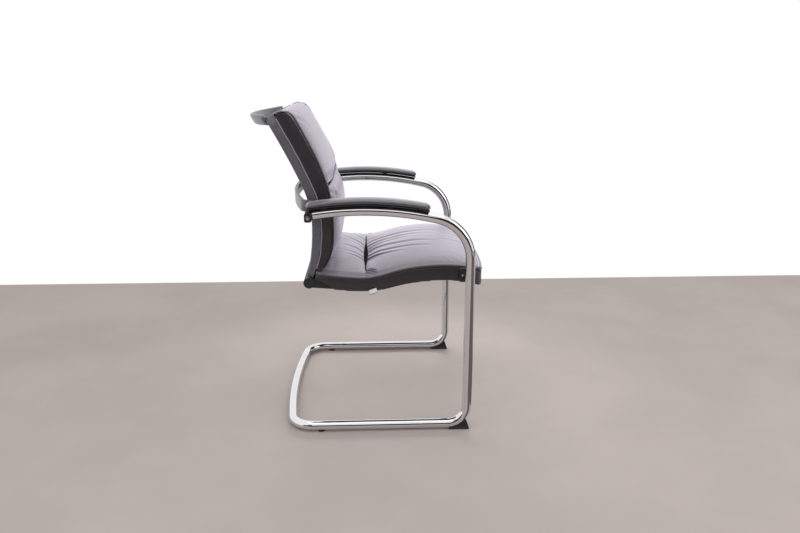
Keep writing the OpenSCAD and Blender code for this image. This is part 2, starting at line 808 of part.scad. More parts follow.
module back_piping() {
    y = gusset_half_w - piping_r;
    s0 = back_piping_foot;
    s1 = face_len + top_wrap_len - piping_r;
    color([0.12, 0.11, 0.13])
        loft([for (i = [0:back_piping_steps]) let (s = s0 + (s1 - s0) * i / back_piping_steps)
            [for (j = [0:piping_sides - 1]) let (a = 360 * j / piping_sides,
                 p = face_pt(s, piping_r * (1 + sin(a)) + 2 * seat_gap))
                [p.x, y + piping_r * cos(a), p.y]]]);
}

cushion_rows = 18;
cushion_cols = 14;
cushion_foot = 26;
face_half_w = gusset_half_w - 2 * piping_r - seat_gap;

module face_cushion(s0, s1, crown) {
    top = [for (i = [0:cushion_rows]) [for (j = [0:cushion_cols])
        let (u = spread(i, cushion_rows), v = 1 - 2 * spread(j, cushion_cols),
             p = face_pt(s0 + (s1 - s0) * u, seat_gap + cushion_edge + crown * pillow(u, v)))
        [p.x, face_half_w * v, p.y]]];
    under = [for (i = [0:cushion_rows]) [for (j = [0:cushion_cols])
        let (u = spread(i, cushion_rows), v = 1 - 2 * spread(j, cushion_cols),
             p = face_pt(s0 + (s1 - s0) * u, seat_gap))
        [p.x, face_half_w * v, p.y]]];
    quilt(top, under);
}

module back_cushion() {
    color([0.16, 0.15, 0.17])
        face_cushion(back_crease + crease_gap / 2, face_len + top_wrap_len - cushion_edge, upper_crown);
}

module lumbar_cushion() {
    color([0.16, 0.15, 0.17])
        face_cushion(cushion_foot, back_crease - crease_gap / 2, lumbar_crown);
}

// Seat

border_nip = 45;
border_nip_rise = 4;
seat_far = seat_len + overrun;
wedge_w = 42;
tongue_s1 = 85;
tongue_t = 4;
shell_t = 5;
shell_s0 = 40;
foam_s0 = 30;
foam_s1 = 14;
shell_rise = tongue_t + seat_gap;
neck_angle = 40;
neck_share = 0.8;

module seat_plan(inset, rear_x) {
    front = seat_front_line(inset);
    polygon(concat([[rear_x, -seat_half_w + inset]], [for (p = front) [p.x, p.y]], [[rear_x, seat_half_w - inset]]));
}

module seat_border() {
    strip = concat(seat_line(0, seat_far, half_border), seat_line(seat_far, border_nip, -half_border),
                   [seat_pt(0, border_nip_rise)]);
    z1 = hinge.y + 2 * border_h;
    z0 = hinge.y - 2 * border_h;
    color([0.08, 0.07, 0.09])
        difference() {
            intersection() {
                across(-seat_half_w, seat_half_w)
                    polygon(strip);
                upward(z0, z1)
                    seat_plan(0, hinge.x);
            }
            upward(z0 - overrun, z1 + overrun)
                seat_plan(border_t, hinge.x - overrun);
            across(-seat_half_w - overrun, seat_half_w + overrun)
                translate(mount_pin)
                    circle(d = seat_pin_d + 4 * seat_gap);
        }
}

module seat_inner(s_low, s_high, d0, d1) {
    intersection() {
        across(-seat_half_w, seat_half_w)
            polygon(concat(seat_line(s_high, seat_far, d1), seat_line(seat_far, s_low, d0)));
        upward(hinge.y - 2 * border_h, hinge.y + 2 * border_h)
            seat_plan(border_t + seat_gap, hinge.x);
    }
}

boss_pad = 11;
boss_t = 10;

module pin_boss(grow) {
    y1 = seat_half_w - border_t - seat_gap;
    z0 = seat_z(mount_pin.x, -half_border) + shell_rise + shell_t / 2;
    for (side = [-1, 1])
        translate([mount_pin.x - boss_pad - grow, side * (y1 - boss_t / 2) - boss_t / 2 - grow, z0])
            cube([2 * (boss_pad + grow), boss_t + 2 * grow, mount_pin.y + seat_pin_d - z0 + grow]);
}

module seat_shell() {
    color([0.07, 0.07, 0.08])
        difference() {
            union() {
                seat_inner(shell_s0, shell_s0, -half_border + shell_rise, -half_border + shell_rise + shell_t);
                pin_boss(0);
            }
            across(-seat_half_w, seat_half_w)
                translate(mount_pin)
                    circle(d = seat_pin_d + 2 * run_gap);
        }
}

module seat_foam() {
    color([0.75, 0.7, 0.5])
        difference() {
            seat_inner(foam_s0, foam_s1, -half_border + shell_rise + shell_t + seat_gap, half_border - seat_gap);
            pin_boss(seat_gap);
            across(-seat_half_w, seat_half_w)
                translate(mount_pin)
                    circle(d = seat_pin_d + 4 * seat_gap);
        }
}

module seat_pin() {
    color([0.7, 0.7, 0.72])
        across(seat_half_w - border_t - boss_t, seat_half_w + mount_side_gap + mount_plate_t - seat_gap)
            translate(mount_pin)
                circle(d = seat_pin_d);
}

tongue_steps = 6;
nip_share = tongue_t / (half_border + border_nip_rise);

module hinge_arm() {
    low = seat_pt(border_nip, -half_border);
    high = seat_pt(0, border_nip_rise);
    slope = atan2(high.y - low.y, high.x - low.x);
    shift = [seat_gap * cos(slope + 90), seat_gap * sin(slope + 90)];
    wedge_low = [low.x + shift.x, low.y + shift.y - seat_gap];
    wedge_high = [high.x + shift.x, high.y + shift.y];
    eye_r = barrel_d / 2;
    neck_r = eye_r * neck_share;
    eye_y = barrel_half_w + seat_gap;
    inner_y = seat_half_w - border_t - seat_gap;
    clear_x = hinge.x + eye_r + 2 * seat_gap;
    color([0.06, 0.06, 0.07])
        difference() {
            union() {
                across(eye_y, seat_half_w)
                    translate(hinge)
                        circle(d = barrel_d);
                across(eye_y, seat_half_w)
                    polygon([[hinge.x, hinge.y - neck_r], wedge_low, wedge_high,
                             [hinge.x + neck_r * cos(neck_angle), hinge.y + neck_r * sin(neck_angle)]]);
                across(inner_y - wedge_w, eye_y)
                    polygon(concat([[clear_x, hinge.y - eye_r]],
                                   seat_line(border_nip, tongue_s1, -half_border, tongue_steps),
                                   seat_line(tongue_s1, border_nip * (1 - nip_share), -half_border + tongue_t,
                                             tongue_steps),
                                   [wedge_high, [clear_x, hinge.y]]));
            }
            across(back_half_w, seat_half_w + overrun)
                translate(hinge)
                    circle(d = rod_d + 2 * run_gap);
        }
}

seat_piping_rear = 6;
piping_side_steps = 18;

function seat_piping_path(inset) = concat(
    [for (i = [0:piping_side_steps - 1])
        [seat_start[0] + seat_piping_rear + (seat_corner_x - seat_start[0] - seat_piping_rear) * i / piping_side_steps,
         -seat_half_w + inset, -90]],
    seat_front_line(inset),
    [for (i = [piping_side_steps - 1:-1:0])
        [seat_start[0] + seat_piping_rear + (seat_corner_x - seat_start[0] - seat_piping_rear) * i / piping_side_steps,
         seat_half_w - inset, 90]]);

module seat_piping() {
    color([0.12, 0.11, 0.13])
        loft([for (q = seat_piping_path(piping_r))
            let (z = seat_z(q.x, half_border) + piping_r + seat_gap)
            [for (j = [0:piping_sides - 1]) let (a = 360 * j / piping_sides)
                [q.x + piping_r * cos(a) * cos(q.z), q.y + piping_r * cos(a) * sin(q.z), z + piping_r * sin(a)]]]);
}

front_rows = 24;
rear_rows = 12;
rear_cushion_start = 9;

module seat_cushion(x0, front, x1, crown, rows) {
    w = seat_half_w - cushion_inset;
    cells = [for (i = [0:rows]) [for (j = [0:cushion_cols])
        let (u = spread(i, rows), v = 1 - 2 * spread(j, cushion_cols),
             y = -w * v, end = front ? seat_edge_x(y, cushion_inset) : x1,
             x = x0 + (end - x0) * u)
        [x, y, seat_z(x, half_border) + seat_gap, cushion_edge + crown * pillow(u, v)]]];
    top = [for (row = cells) [for (c = row) [c[0], c[1], c[2] + c[3]]]];
    under = [for (row = cells) [for (c = row) [c[0], c[1], c[2]]]];
    quilt(top, under);
}

module seat_cushion_front() {
    color([0.16, 0.15, 0.17])
        seat_cushion(seat_crease_x + crease_gap / 2, true, 0, seat_front_crown, front_rows);
}

module seat_cushion_rear() {
    color([0.16, 0.15, 0.17])
        seat_cushion(seat_start[0] + rear_cushion_start, false, seat_crease_x - crease_gap / 2, seat_rear_crown, rear_rows);
}

tag_x = 12;
tag_w = 24;
tag_h = 15;
tag_t = 1;
tag_turn = -18;

module care_tag() {
    color([0.85, 0.83, 0.88])
        difference() {
            translate([tag_x, -seat_half_w + border_t / 2, seat_z(tag_x, -half_border)])
                rotate([0, -tag_turn, 0])
                    translate([-tag_w / 2, -tag_t / 2, -tag_h])
                        cube([tag_w, tag_t, tag_h + tag_w / 2]);
            across(-seat_half_w, seat_half_w)
                polygon(concat(seat_line(border_nip, seat_len / 2, -half_border - seat_gap),
                               seat_line(seat_len / 2, border_nip, half_border)));
        }
}

module left() {
    children();
}
module right() {
    mirror([0, 1, 0])
        children();
}

frame_tube();
left() front_foot();  // front_foot_left
right() front_foot();  // front_foot_right
left() rear_glide();  // rear_glide_left
right() rear_glide();  // rear_glide_right
left() arm_base();  // arm_base_left
right() arm_base();  // arm_base_right
left() arm_pad();  // arm_pad_left
right() arm_pad();  // arm_pad_right
left() arm_joint();  // arm_joint_left
right() arm_joint();  // arm_joint_right
left() pivot_pin();  // pivot_pin_left
right() pivot_pin();  // pivot_pin_right
rear_brace();
left() seat_mount();  // seat_mount_left
right() seat_mount();  // seat_mount_right
back_frame();
left() back_lug();  // back_lug_left
right() back_lug();  // back_lug_right
grab_handle();
back_foam();
left() gusset();  // gusset_left
right() gusset();  // gusset_right
left() back_piping();  // back_piping_left
right() back_piping();  // back_piping_right
back_cushion();
lumbar_cushion();
hinge_barrel();
hinge_rod();
left() hinge_arm();  // hinge_arm_left
right() hinge_arm();  // hinge_arm_right
left() hinge_cap();  // hinge_cap_left
right() hinge_cap();  // hinge_cap_right
seat_shell();
seat_foam();
seat_border();
seat_piping();
seat_cushion_front();
seat_cushion_rear();
left() seat_pin();  // seat_pin_left
right() seat_pin();  // seat_pin_right
care_tag();
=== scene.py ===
"""Looks of the cantilever lounge chair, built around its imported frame.

Lengths are in metres on the frame's own axes: the sitter faces +X, left is +Y, and the floor is at z = 0.
"""

import logging
import math
from dataclasses import dataclass
from enum import Enum
from functools import cache
from typing import Callable, Sequence

import bmesh
import bpy
import numpy as np
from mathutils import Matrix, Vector
from mathutils.bvhtree import BVHTree


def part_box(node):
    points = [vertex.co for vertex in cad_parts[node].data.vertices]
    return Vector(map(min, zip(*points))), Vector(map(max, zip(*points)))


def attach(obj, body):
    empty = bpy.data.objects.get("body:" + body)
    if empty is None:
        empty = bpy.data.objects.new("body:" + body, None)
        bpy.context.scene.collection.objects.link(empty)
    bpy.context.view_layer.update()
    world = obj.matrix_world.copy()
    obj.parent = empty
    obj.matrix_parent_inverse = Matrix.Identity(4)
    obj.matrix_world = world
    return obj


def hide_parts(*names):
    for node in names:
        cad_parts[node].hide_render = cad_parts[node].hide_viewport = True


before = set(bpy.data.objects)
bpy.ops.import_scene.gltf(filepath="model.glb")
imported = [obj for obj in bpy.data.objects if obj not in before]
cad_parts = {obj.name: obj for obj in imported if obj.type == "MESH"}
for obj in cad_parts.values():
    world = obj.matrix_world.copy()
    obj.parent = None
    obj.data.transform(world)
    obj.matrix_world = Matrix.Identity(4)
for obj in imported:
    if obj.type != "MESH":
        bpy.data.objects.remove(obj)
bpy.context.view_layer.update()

WELD_DISTANCE = 0.00001
CRISP_ANGLE = 40.0
log = logging.getLogger("lounge_chair")

Point = tuple[float, float, float]
Pair = tuple[float, float]
Colour = tuple[float, float, float]


class Side(Enum):
    """The two sides of the chair, as the sign of their Y."""

    LEFT = 1
    RIGHT = -1

    @property
    def word(self) -> str:
        """The word that the frame's nodes end in."""
        return self.name.lower()


class Body(Enum):
    """The rigid bodies of the frame."""

    FRAME = "frame"
    BACK = "back"
    SEAT = "seat"


# Mesh helpers


def linked(name: str, data: bpy.types.ID) -> bpy.types.Object:
    """Puts a new object with this data in the scene, at the origin."""
    obj = bpy.data.objects.new(name, data)
    bpy.context.scene.collection.objects.link(obj)
    return obj


def mesh_object(name: str, points: Sequence[Sequence[float]], faces: Sequence[Sequence[int]]) -> bpy.types.Object:
    """Makes a smooth mesh object at the origin.

    Args:
        name: the object's name.
        points: corner places in metres.
        faces: corner numbers of each face.

    Returns:
        The new object, linked to the scene.
    """
    mesh = bpy.data.meshes.new(name)
    mesh.from_pydata([tuple(p) for p in points], [], [tuple(f) for f in faces])
    mesh.polygons.foreach_set("use_smooth", [True] * len(mesh.polygons))
    mesh.update()
    return linked(name, mesh)


def welded_copy(node: str, name: str, flat_angle: float = 0.6) -> bpy.types.Object:
    """Copies a CAD node's mesh with its doubles merged and its flat areas joined.

    Args:
        node: the CAD node to copy.
        name: the new object's name.
        flat_angle: faces that differ by less than this, in degrees, become one.

    Returns:
        The new object at the origin.
    """
    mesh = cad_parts[node].data.copy()
    mesh.name = name
    mesh.materials.clear()
    work = bmesh.new()
    work.from_mesh(mesh)
    bmesh.ops.remove_doubles(work, verts=work.verts, dist=WELD_DISTANCE)
    if flat_angle:
        bmesh.ops.dissolve_limit(work, angle_limit=math.radians(flat_angle), verts=work.verts, edges=work.edges)
    work.to_mesh(mesh)
    work.free()
    return linked(name, mesh)


def baked(obj: bpy.types.Object) -> bpy.types.Object:
    """Turns an object's modifiers into plain mesh, and returns the object."""
    graph = bpy.context.evaluated_depsgraph_get()
    mesh = bpy.data.meshes.new_from_object(obj.evaluated_get(graph))
    old = obj.data
    obj.modifiers.clear()
    obj.data = mesh
    mesh.name = obj.name
    if old.users == 0:
        bpy.data.meshes.remove(old)
    return obj


def smoothed(obj: bpy.types.Object, angle: float = 35.0) -> bpy.types.Object:
    """Shades an object smooth, with edges sharper than the angle in degrees kept crisp."""
    mesh = obj.data
    mesh.polygons.foreach_set("use_smooth", [True] * len(mesh.polygons))
    mesh.set_sharp_from_angle(angle=math.radians(angle))
    return obj


def eased(obj: bpy.types.Object, width: float, segments: int = 2) -> bpy.types.Object:
    """Rounds the crisp edges of a moulded or turned piece with a small bevel."""
    bevel = obj.modifiers.new("eased_edges", "BEVEL")
    bevel.width = width
    bevel.segments = segments
    bevel.limit_method = "ANGLE"
    bevel.angle_limit = math.radians(CRISP_ANGLE)
    bevel.use_clamp_overlap = True
    return baked(obj)


def remeshed(obj: bpy.types.Object, voxel: float) -> bpy.types.Object:
    """Rebuilds a closed mesh as even quads of the voxel size."""
    remesh = obj.modifiers.new("even_quads", "REMESH")
    remesh.mode = "VOXEL"
    remesh.voxel_size = voxel
    remesh.use_smooth_shade = True
    return baked(obj)


def subdivided(obj: bpy.types.Object, levels: int = 1) -> bpy.types.Object:
    """Adds Catmull-Clark subdivision and makes it plain mesh."""
    subdivision = obj.modifiers.new("subdivision", "SUBSURF")
    subdivision.levels = levels
    subdivision.render_levels = levels
    return baked(obj)


def relaxed(obj: bpy.types.Object, rounds: int, share: float = 0.5) -> bpy.types.Object:
    """Softens a mesh by moving each point a share of the way to its neighbours, some rounds over."""
    smooth = obj.modifiers.new("relaxed", "SMOOTH")
    smooth.factor = share
    smooth.iterations = rounds
    return baked(obj)


def rows_of(obj: bpy.types.Object, key: str) -> np.ndarray:
    """A vector that every mesh point has, as an array of rows."""
    flat = np.zeros(len(obj.data.vertices) * 3, np.float32)
    obj.data.vertices.foreach_get(key, flat)
    return flat.reshape(-1, 3).astype(float)


def coordinates(obj: bpy.types.Object) -> np.ndarray:
    """The object's mesh points as an array of rows."""
    return rows_of(obj, "co")


def normals(obj: bpy.types.Object) -> np.ndarray:
    """The object's point normals as an array of rows."""
    return rows_of(obj, "normal")


def set_coordinates(obj: bpy.types.Object, points: np.ndarray) -> None:
    """Puts an array of rows back as the object's mesh points."""
    obj.data.vertices.foreach_set("co", points.astype(np.float32).ravel())
    obj.data.update()


def swept(name: str, path: np.ndarray, radius: float, sides: int, up: Point = (0.0, 0.0, 1.0)) -> bpy.types.Object:
    """Sweeps a round section along an open path, and closes both ends with a blunt point.

    Args:
        name: the object's name.
        path: rows of places along the path.
        radius: radius of the section.
        sides: points round the section.
        up: a direction that the path never follows, to start the frame from.

    Returns:
        The new object.
    """
    path = np.asarray(path, float)
    tangents = np.gradient(path, axis=0)
    tangents /= np.linalg.norm(tangents, axis=1)[:, None]
    count = len(path)
    side = np.cross(tangents[0], up)
    side /= np.linalg.norm(side)
    turn = 2 * math.pi / sides
    points = []
    for i in range(count):
        side = side - tangents[i] * np.dot(side, tangents[i])
        side /= np.linalg.norm(side)
        rise = np.cross(side, tangents[i])
        points.extend(path[i] + radius * (math.cos(j * turn) * side + math.sin(j * turn) * rise) for j in range(sides))
    faces = [(i * sides + j, i * sides + (j + 1) % sides, (i + 1) * sides + (j + 1) % sides, (i + 1) * sides + j)
             for i in range(count - 1) for j in range(sides)]
    first, last = len(points), len(points) + 1
    points.append(path[0] - tangents[0] * radius / 2)
    points.append(path[-1] + tangents[-1] * radius / 2)
    start = (count - 1) * sides
    faces.extend((first, (j + 1) % sides, j) for j in range(sides))
    faces.extend((last, start + j, start + (j + 1) % sides) for j in range(sides))
    obj = mesh_object(name, points, faces)
    turned_out(obj)
    return obj


def turned_out(obj: bpy.types.Object) -> None:
    """Points the faces of a closed mesh outwards."""
    work = bmesh.new()
    work.from_mesh(obj.data)
    bmesh.ops.recalc_face_normals(work, faces=work.faces)
    work.to_mesh(obj.data)
    work.free()


# Forms that the frame's solids follow


def eased_step(share: np.ndarray) -> np.ndarray:
    """0 below 0, 1 above 1, and an eased rise between."""
    held = np.clip(share, 0.0, 1.0)
    return held * held * (3 - 2 * held)


def rise(value: np.ndarray, start: float, run: float) -> np.ndarray:
    """An eased rise from 0 at the start to 1 at the end of the run, which is negative for a rise the other way."""
    return eased_step((value - start) / run)


def dome(value: np.ndarray, middle: float, half: float) -> np.ndarray:
    """A parabola of height 1 at the middle that reaches 0 at half its width."""
    return np.clip(1 - ((value - middle) / half) ** 2, 0, 1)


def bell(value: np.ndarray, middle: float, width: float) -> np.ndarray:
    """A bell curve of height 1 about the middle."""
    return np.exp(-(((value - middle) / width) ** 2))


def pushed(points: np.ndarray, out: np.ndarray, height: np.ndarray, axis: int) -> np.ndarray:
    """Points moved out along their normals by a height, as far as they face along an axis."""
    return points + out * (height * np.clip(out[:, axis], 0, 1))[:, None]


@dataclass(frozen=True)
class ArcChain:
    """A line in the side plane made of arcs, walked by length.

    Attributes:
        start: x, z and heading in degrees where the line begins.
        rows: length and turn in degrees of each arc.
    """

    start: Point
    rows: tuple[Pair, ...]

    @property
    def length(self) -> float:
        """Length of the whole chain."""
        return sum(row[0] for row in self.rows)

    def place(self, s: float) -> Point:
        """The place and heading at a length along the chain, which runs on past its end."""
        x, z, heading = self.start
        for number, (length, turn) in enumerate(self.rows):
            run = s if number == len(self.rows) - 1 else min(s, length)
            bend = math.radians(turn * run / length)
            way = math.radians(heading)
            radius = length / math.radians(turn)
            x += radius * (math.sin(way + bend) - math.sin(way))
            z -= radius * (math.cos(way + bend) - math.cos(way))
            heading += math.degrees(bend)
            s -= run
            if s <= 0:
                break
        return x, z, heading

    def beside(self, s: float, distance: float, side: float) -> Pair:
        """A place at a distance from the chain, on the side given by an angle from its heading."""
        x, z, heading = self.place(s)
        way = math.radians(heading + side)
        return x + distance * math.cos(way), z + distance * math.sin(way)


@dataclass(frozen=True)
class SeatForm:
    """The wavy line of the seat and its outline in plan, as the CAD has them."""

    line: ArcChain = ArcChain((-0.133, 0.408, -8.0),
                              ((0.103, 4.0), (0.085, 19.5), (0.175, -19.5), (0.075, -22.0)))
    half_w: float = 0.237
    half_border: float = 0.0185
    front_x: float = 0.312
    corner_r: float = 0.042
    bow_r: float = 1.58
    crease_x: float = -0.009
    drop_places: tuple[Pair, ...] = ((-0.13, 0.004), (-0.10, 0.0055), (-0.015, 0.006), (0.05, 0.003), (0.10, 0.001))
    drop_power: float = 1.4
    far_drop_share: float = 0.15
    settle_y: float = 0.207
    settle_margin: float = 0.006
    front_hold: Pair = (0.265, 0.03)
    search_past: float = 0.04
    search_steps: int = 18
    sample_past: float = 0.01
    samples: int = 120

    def z_at(self, x: float, above: float) -> float:
        """Height of the seat's line, moved up by a distance, over a place along the chair."""
        low, high = 0.0, self.line.length + self.search_past
        for _ in range(self.search_steps):
            mid = (low + high) / 2
            if self.line.beside(mid, above, 90)[0] < x:
                low = mid
            else:
                high = mid
        return self.line.beside((low + high) / 2, above, 90)[1]

    def line_heights(self, x: np.ndarray) -> np.ndarray:
        """Heights of the seat's middle line over many places along the chair."""
        places = np.linspace(self.line.start[0] - self.sample_past, self.front_x + self.sample_past, self.samples)
        return np.interp(x, places, [self.z_at(float(v), 0.0) for v in places])

    def settled(self, points: np.ndarray) -> np.ndarray:
        """Points with the top of the sides sunk, most on the side that is sat down from.

        Args:
            points: rows of places on or in the seat.

        Returns:
            The same rows, lower near the two sides.
        """
        over = points[:, 2] - self.line_heights(points[:, 0])
        share = np.clip((over + self.half_border) / (2 * self.half_border), 0, 1.2) ** self.drop_power
        drop = np.interp(points[:, 0], *zip(*self.drop_places))
        drop = drop * np.where(points[:, 1] < 0, 1.0, self.far_drop_share)
        edge = rise(np.abs(points[:, 1]), self.settle_y, self.half_w - self.settle_y - self.settle_margin)
        front = 1 - rise(points[:, 0], *self.front_hold)
        sunk = points.copy()
        sunk[:, 2] -= drop * edge * share * front
        return sunk

    def rim(self, inset: float, rear_x: float, steps: int = 40) -> list[Point]:
        """The outline in plan from the rear right round the front to the rear left, with outward headings."""
        bow_c = self.front_x - self.bow_r
        corner_y = self.half_w - self.corner_r
        corner_x = bow_c + math.sqrt((self.bow_r - self.corner_r) ** 2 - corner_y ** 2)
        bow = math.asin(corner_y / (self.bow_r - self.corner_r))
        rim = [(rear_x + (corner_x - rear_x) * i / steps, -self.half_w + inset, -90.0) for i in range(steps)]
        for i in range(steps // 2 + 1):
            a = -math.pi / 2 + (math.pi / 2 - bow) * i / (steps // 2)
            rim.append((corner_x + (self.corner_r - inset) * math.cos(a),
                        -corner_y + (self.corner_r - inset) * math.sin(a), math.degrees(a)))
        for i in range(1, steps):
            a = bow * (2 * i / steps - 1)
            rim.append((bow_c + (self.bow_r - inset) * math.cos(a), (self.bow_r - inset) * math.sin(a),
                        math.degrees(a)))
        mirrored = [(x, -y, -a) for x, y, a in reversed(rim[:steps + steps // 2 + 1])]
        return rim + mirrored

    def rim_path(self, inset: float, above: float, rear_x: float, lift: float = 0.0) -> np.ndarray:
        """Places along the rim at a height over the seat's line."""
        return np.array([(x, y, self.z_at(x, above) + lift) for x, y, _ in self.rim(inset, rear_x)])


@dataclass(frozen=True)
class BackForm:
    """The rear line of the moulded back and the flange that stands forward of it."""

    line: ArcChain = ArcChain((-0.158, 0.418, 77.0), ((0.130, 13.0), (0.105, 24.0), (0.189, 6.0)))
    gusset_half_w: float = 0.219
    flange: float = 0.023
    lip: float = 0.014
    lip_run: float = 0.072
    foot: float = -0.012
    crease_z: float = 0.6505
    sample_past: float = 0.02
    samples: int = 220

    def flange_at(self, s: float) -> float:
        """Depth of the side flange at a length up the frame."""
        return self.lip + (self.flange - self.lip) * min(1.0, max(0.0, (s - self.foot) / self.lip_run))

    def point(self, s: float, depth: float) -> Pair:
        """A place at a depth forward of the frame's rear line."""
        return self.line.beside(s, depth, -90)

    def depths(self, points: np.ndarray) -> np.ndarray:
        """How far forward of the front of the side flange each point lies."""
        runs = np.linspace(0.0, self.line.length + self.sample_past, self.samples)
        line = np.array([self.line.place(float(run))[:2] for run in runs])
        away = points[:, None, [0, 2]] - line[None]
        far = np.sqrt((away ** 2).sum(2))
        nearest = far.argmin(1)
        flange = np.array([self.flange_at(float(run)) for run in runs])
        return far.min(1) - flange[nearest]


# Shader helpers


class Graph:
    """Builds a node tree in a readable order."""

    step = 180

    def __init__(self, tree: bpy.types.NodeTree) -> None:
        """Starts on a tree, and empties it."""
        self.tree = tree
        self.tree.nodes.clear()
        self.column = 0

    def node(self, kind: str, settings: dict | None = None, **inputs: object) -> bpy.types.Node:
        """Adds a node.

        Args:
            kind: the node's Blender type.
            settings: attributes to set on it.
            inputs: values or sockets for its inputs, by their name with underscores for blanks.

        Returns:
            The new node.
        """
        made = self.tree.nodes.new(kind)
        made.location = (self.column * self.step, 0)
        self.column += 1
        for name, value in (settings or {}).items():
            setattr(made, name, value)
        self.feed_all(made, **inputs)
        return made

    def feed(self, node: bpy.types.Node, name: str | int, value: object) -> None:
        """Links a socket to an input, or sets the input's own value."""
        target = node.inputs[name]
        if isinstance(value, bpy.types.NodeSocket):
            self.tree.links.new(value, target)
        else:
            target.default_value = value

    def feed_all(self, node: bpy.types.Node, **inputs: object) -> None:
        """Feeds several inputs by their names, with underscores for blanks."""
        for name, value in inputs.items():
            self.feed(node, name.replace("_", " "), value)

    def plus(self, base: object, amount: object, share: object) -> bpy.types.NodeSocket:
        """Adds a share of an amount to a base, and returns the sum."""
        return self.maths("ADD", base, self.maths("MULTIPLY", amount, share))

    def bump(self, shader: bpy.types.Node, strength: float, distance: float, height: bpy.types.NodeSocket) -> None:
        """Gives a shader the normal of a height."""
        made = self.node("ShaderNodeBump", Strength=strength, Distance=distance, Height=height)
        self.feed(shader, "Normal", made.outputs["Normal"])

    def maths(self, operation: str, first: object, second: object = 0.0, clamp: bool = False) -> bpy.types.NodeSocket:
        """Adds a Math node on two values or sockets, and returns its result."""
        made = self.node("ShaderNodeMath", {"operation": operation, "use_clamp": clamp})
        self.feed(made, 0, first)
        self.feed(made, 1, second)
        return made.outputs[0]

    def noise(self, vector: object, scale: float, detail: float = 3.0, roughness: float = 0.5) -> bpy.types.NodeSocket:
        """Adds a noise texture and returns its grey value."""
        made = self.node("ShaderNodeTexNoise", Vector=vector, Scale=scale, Detail=detail, Roughness=roughness)
        return made.outputs["Fac"]

    def ramp(self, factor: object, low: float, high: float) -> bpy.types.NodeSocket:
        """Maps a value from low..high to 0..1, clamped and eased."""
        made = self.node("ShaderNodeMapRange", {"interpolation_type": "SMOOTHSTEP"}, Value=factor,
                         From_Min=low, From_Max=high)
        return made.outputs["Result"]

    def mix_colour(self, factor: object, first: object, second: object) -> bpy.types.NodeSocket:
        """Mixes two colours by a factor and returns the result."""
        made = self.node("ShaderNodeMix", {"data_type": "RGBA"})
        self.feed(made, 0, factor)
        self.feed(made, 6, first)
        self.feed(made, 7, second)
        return made.outputs[2]


def rgba(colour: Colour, share: float = 1.0) -> tuple[float, float, float, float]:
    """A colour, or a dimmer share of it, with full alpha."""
    return (*(value * share for value in colour), 1.0)


def effect_group(name: str, inputs: dict[str, float],
                 outputs: Sequence[str]) -> tuple[bpy.types.NodeTree, Graph, bpy.types.Node]:
    """Starts a shader group with float inputs besides its Vector, and float outputs.

    Args:
        name: the group's name.
        inputs: name and default of each float input.
        outputs: name of each output.

    Returns:
        The group's tree, its graph and its input node.
    """
    tree = bpy.data.node_groups.new(name, "ShaderNodeTree")
    tree.interface.new_socket("Vector", in_out="INPUT", socket_type="NodeSocketVector")
    for key, value in inputs.items():
        socket = tree.interface.new_socket(key, in_out="INPUT", socket_type="NodeSocketFloat")
        socket.default_value = value
    for key in outputs:
        tree.interface.new_socket(key, in_out="OUTPUT", socket_type="NodeSocketFloat")
    graph = Graph(tree)
    return tree, graph, graph.node("NodeGroupInput")


@cache
def hide_grain_group() -> bpy.types.NodeTree:
    """Pebbled hide: cells split by fine valleys, over slow soft swells.

    Returns:
        A group whose Height drives a bump and whose Valley darkens the colour.
    """
    tree, graph, entry = effect_group("hide_grain", {"Scale": 700.0, "Swell": 0.4}, ["Height", "Valley"])
    place = entry.outputs["Vector"]
    cells = graph.node("ShaderNodeTexVoronoi", {"feature": "DISTANCE_TO_EDGE"}, Vector=place,
                       Scale=entry.outputs["Scale"], Randomness=0.9)
    valley = graph.ramp(cells.outputs["Distance"], 0.0, 0.22)
    height = graph.plus(valley, graph.noise(place, 55.0, 4.0, 0.55), entry.outputs["Swell"])
    graph.node("NodeGroupOutput", Height=height, Valley=graph.maths("SUBTRACT", 1.0, valley))
    return tree


@cache
def rub_group() -> bpy.types.NodeTree:
    """Patchy rubbing and handling marks.

    Returns:
        A group whose Mask is 1 where the surface is rubbed.
    """
    tree, graph, entry = effect_group("rub_marks", {"Amount": 0.5}, ["Mask"])
    broad = graph.noise(entry.outputs["Vector"], 9.0, 3.0, 0.6)
    fine = graph.noise(entry.outputs["Vector"], 160.0, 4.0, 0.65)
    mixed = graph.maths("MULTIPLY", graph.ramp(broad, 0.42, 0.75), graph.ramp(fine, 0.35, 0.7))
    graph.node("NodeGroupOutput", Mask=graph.maths("MULTIPLY", mixed, entry.outputs["Amount"]))
    return tree


@cache
def dust_group() -> bpy.types.NodeTree:
    """Floor dust that fades out with height.

    Returns:
        A group whose Mask is 1 where dust lies.
    """
    tree, graph, entry = effect_group("floor_dust", {"Top": 0.012, "Amount": 0.6}, ["Mask"])
    split = graph.node("ShaderNodeSeparateXYZ", Vector=entry.outputs["Vector"])
    fade = graph.maths("SUBTRACT", 1.0, graph.maths("DIVIDE", split.outputs["Z"], entry.outputs["Top"]), True)
    speck = graph.ramp(graph.noise(entry.outputs["Vector"], 420.0, 4.0, 0.7), 0.4, 0.65)
    dust = graph.maths("MULTIPLY", fade, speck)
    graph.node("NodeGroupOutput", Mask=graph.maths("MULTIPLY", dust, entry.outputs["Amount"]))
    return tree


def effect(graph: Graph, group: Callable[[], bpy.types.NodeTree], place: bpy.types.NodeSocket,
           **inputs: float) -> bpy.types.Node:
    """Places a shared shader group in a material, with its own values."""
    return graph.node("ShaderNodeGroup", {"node_tree": group()}, Vector=place, **inputs)


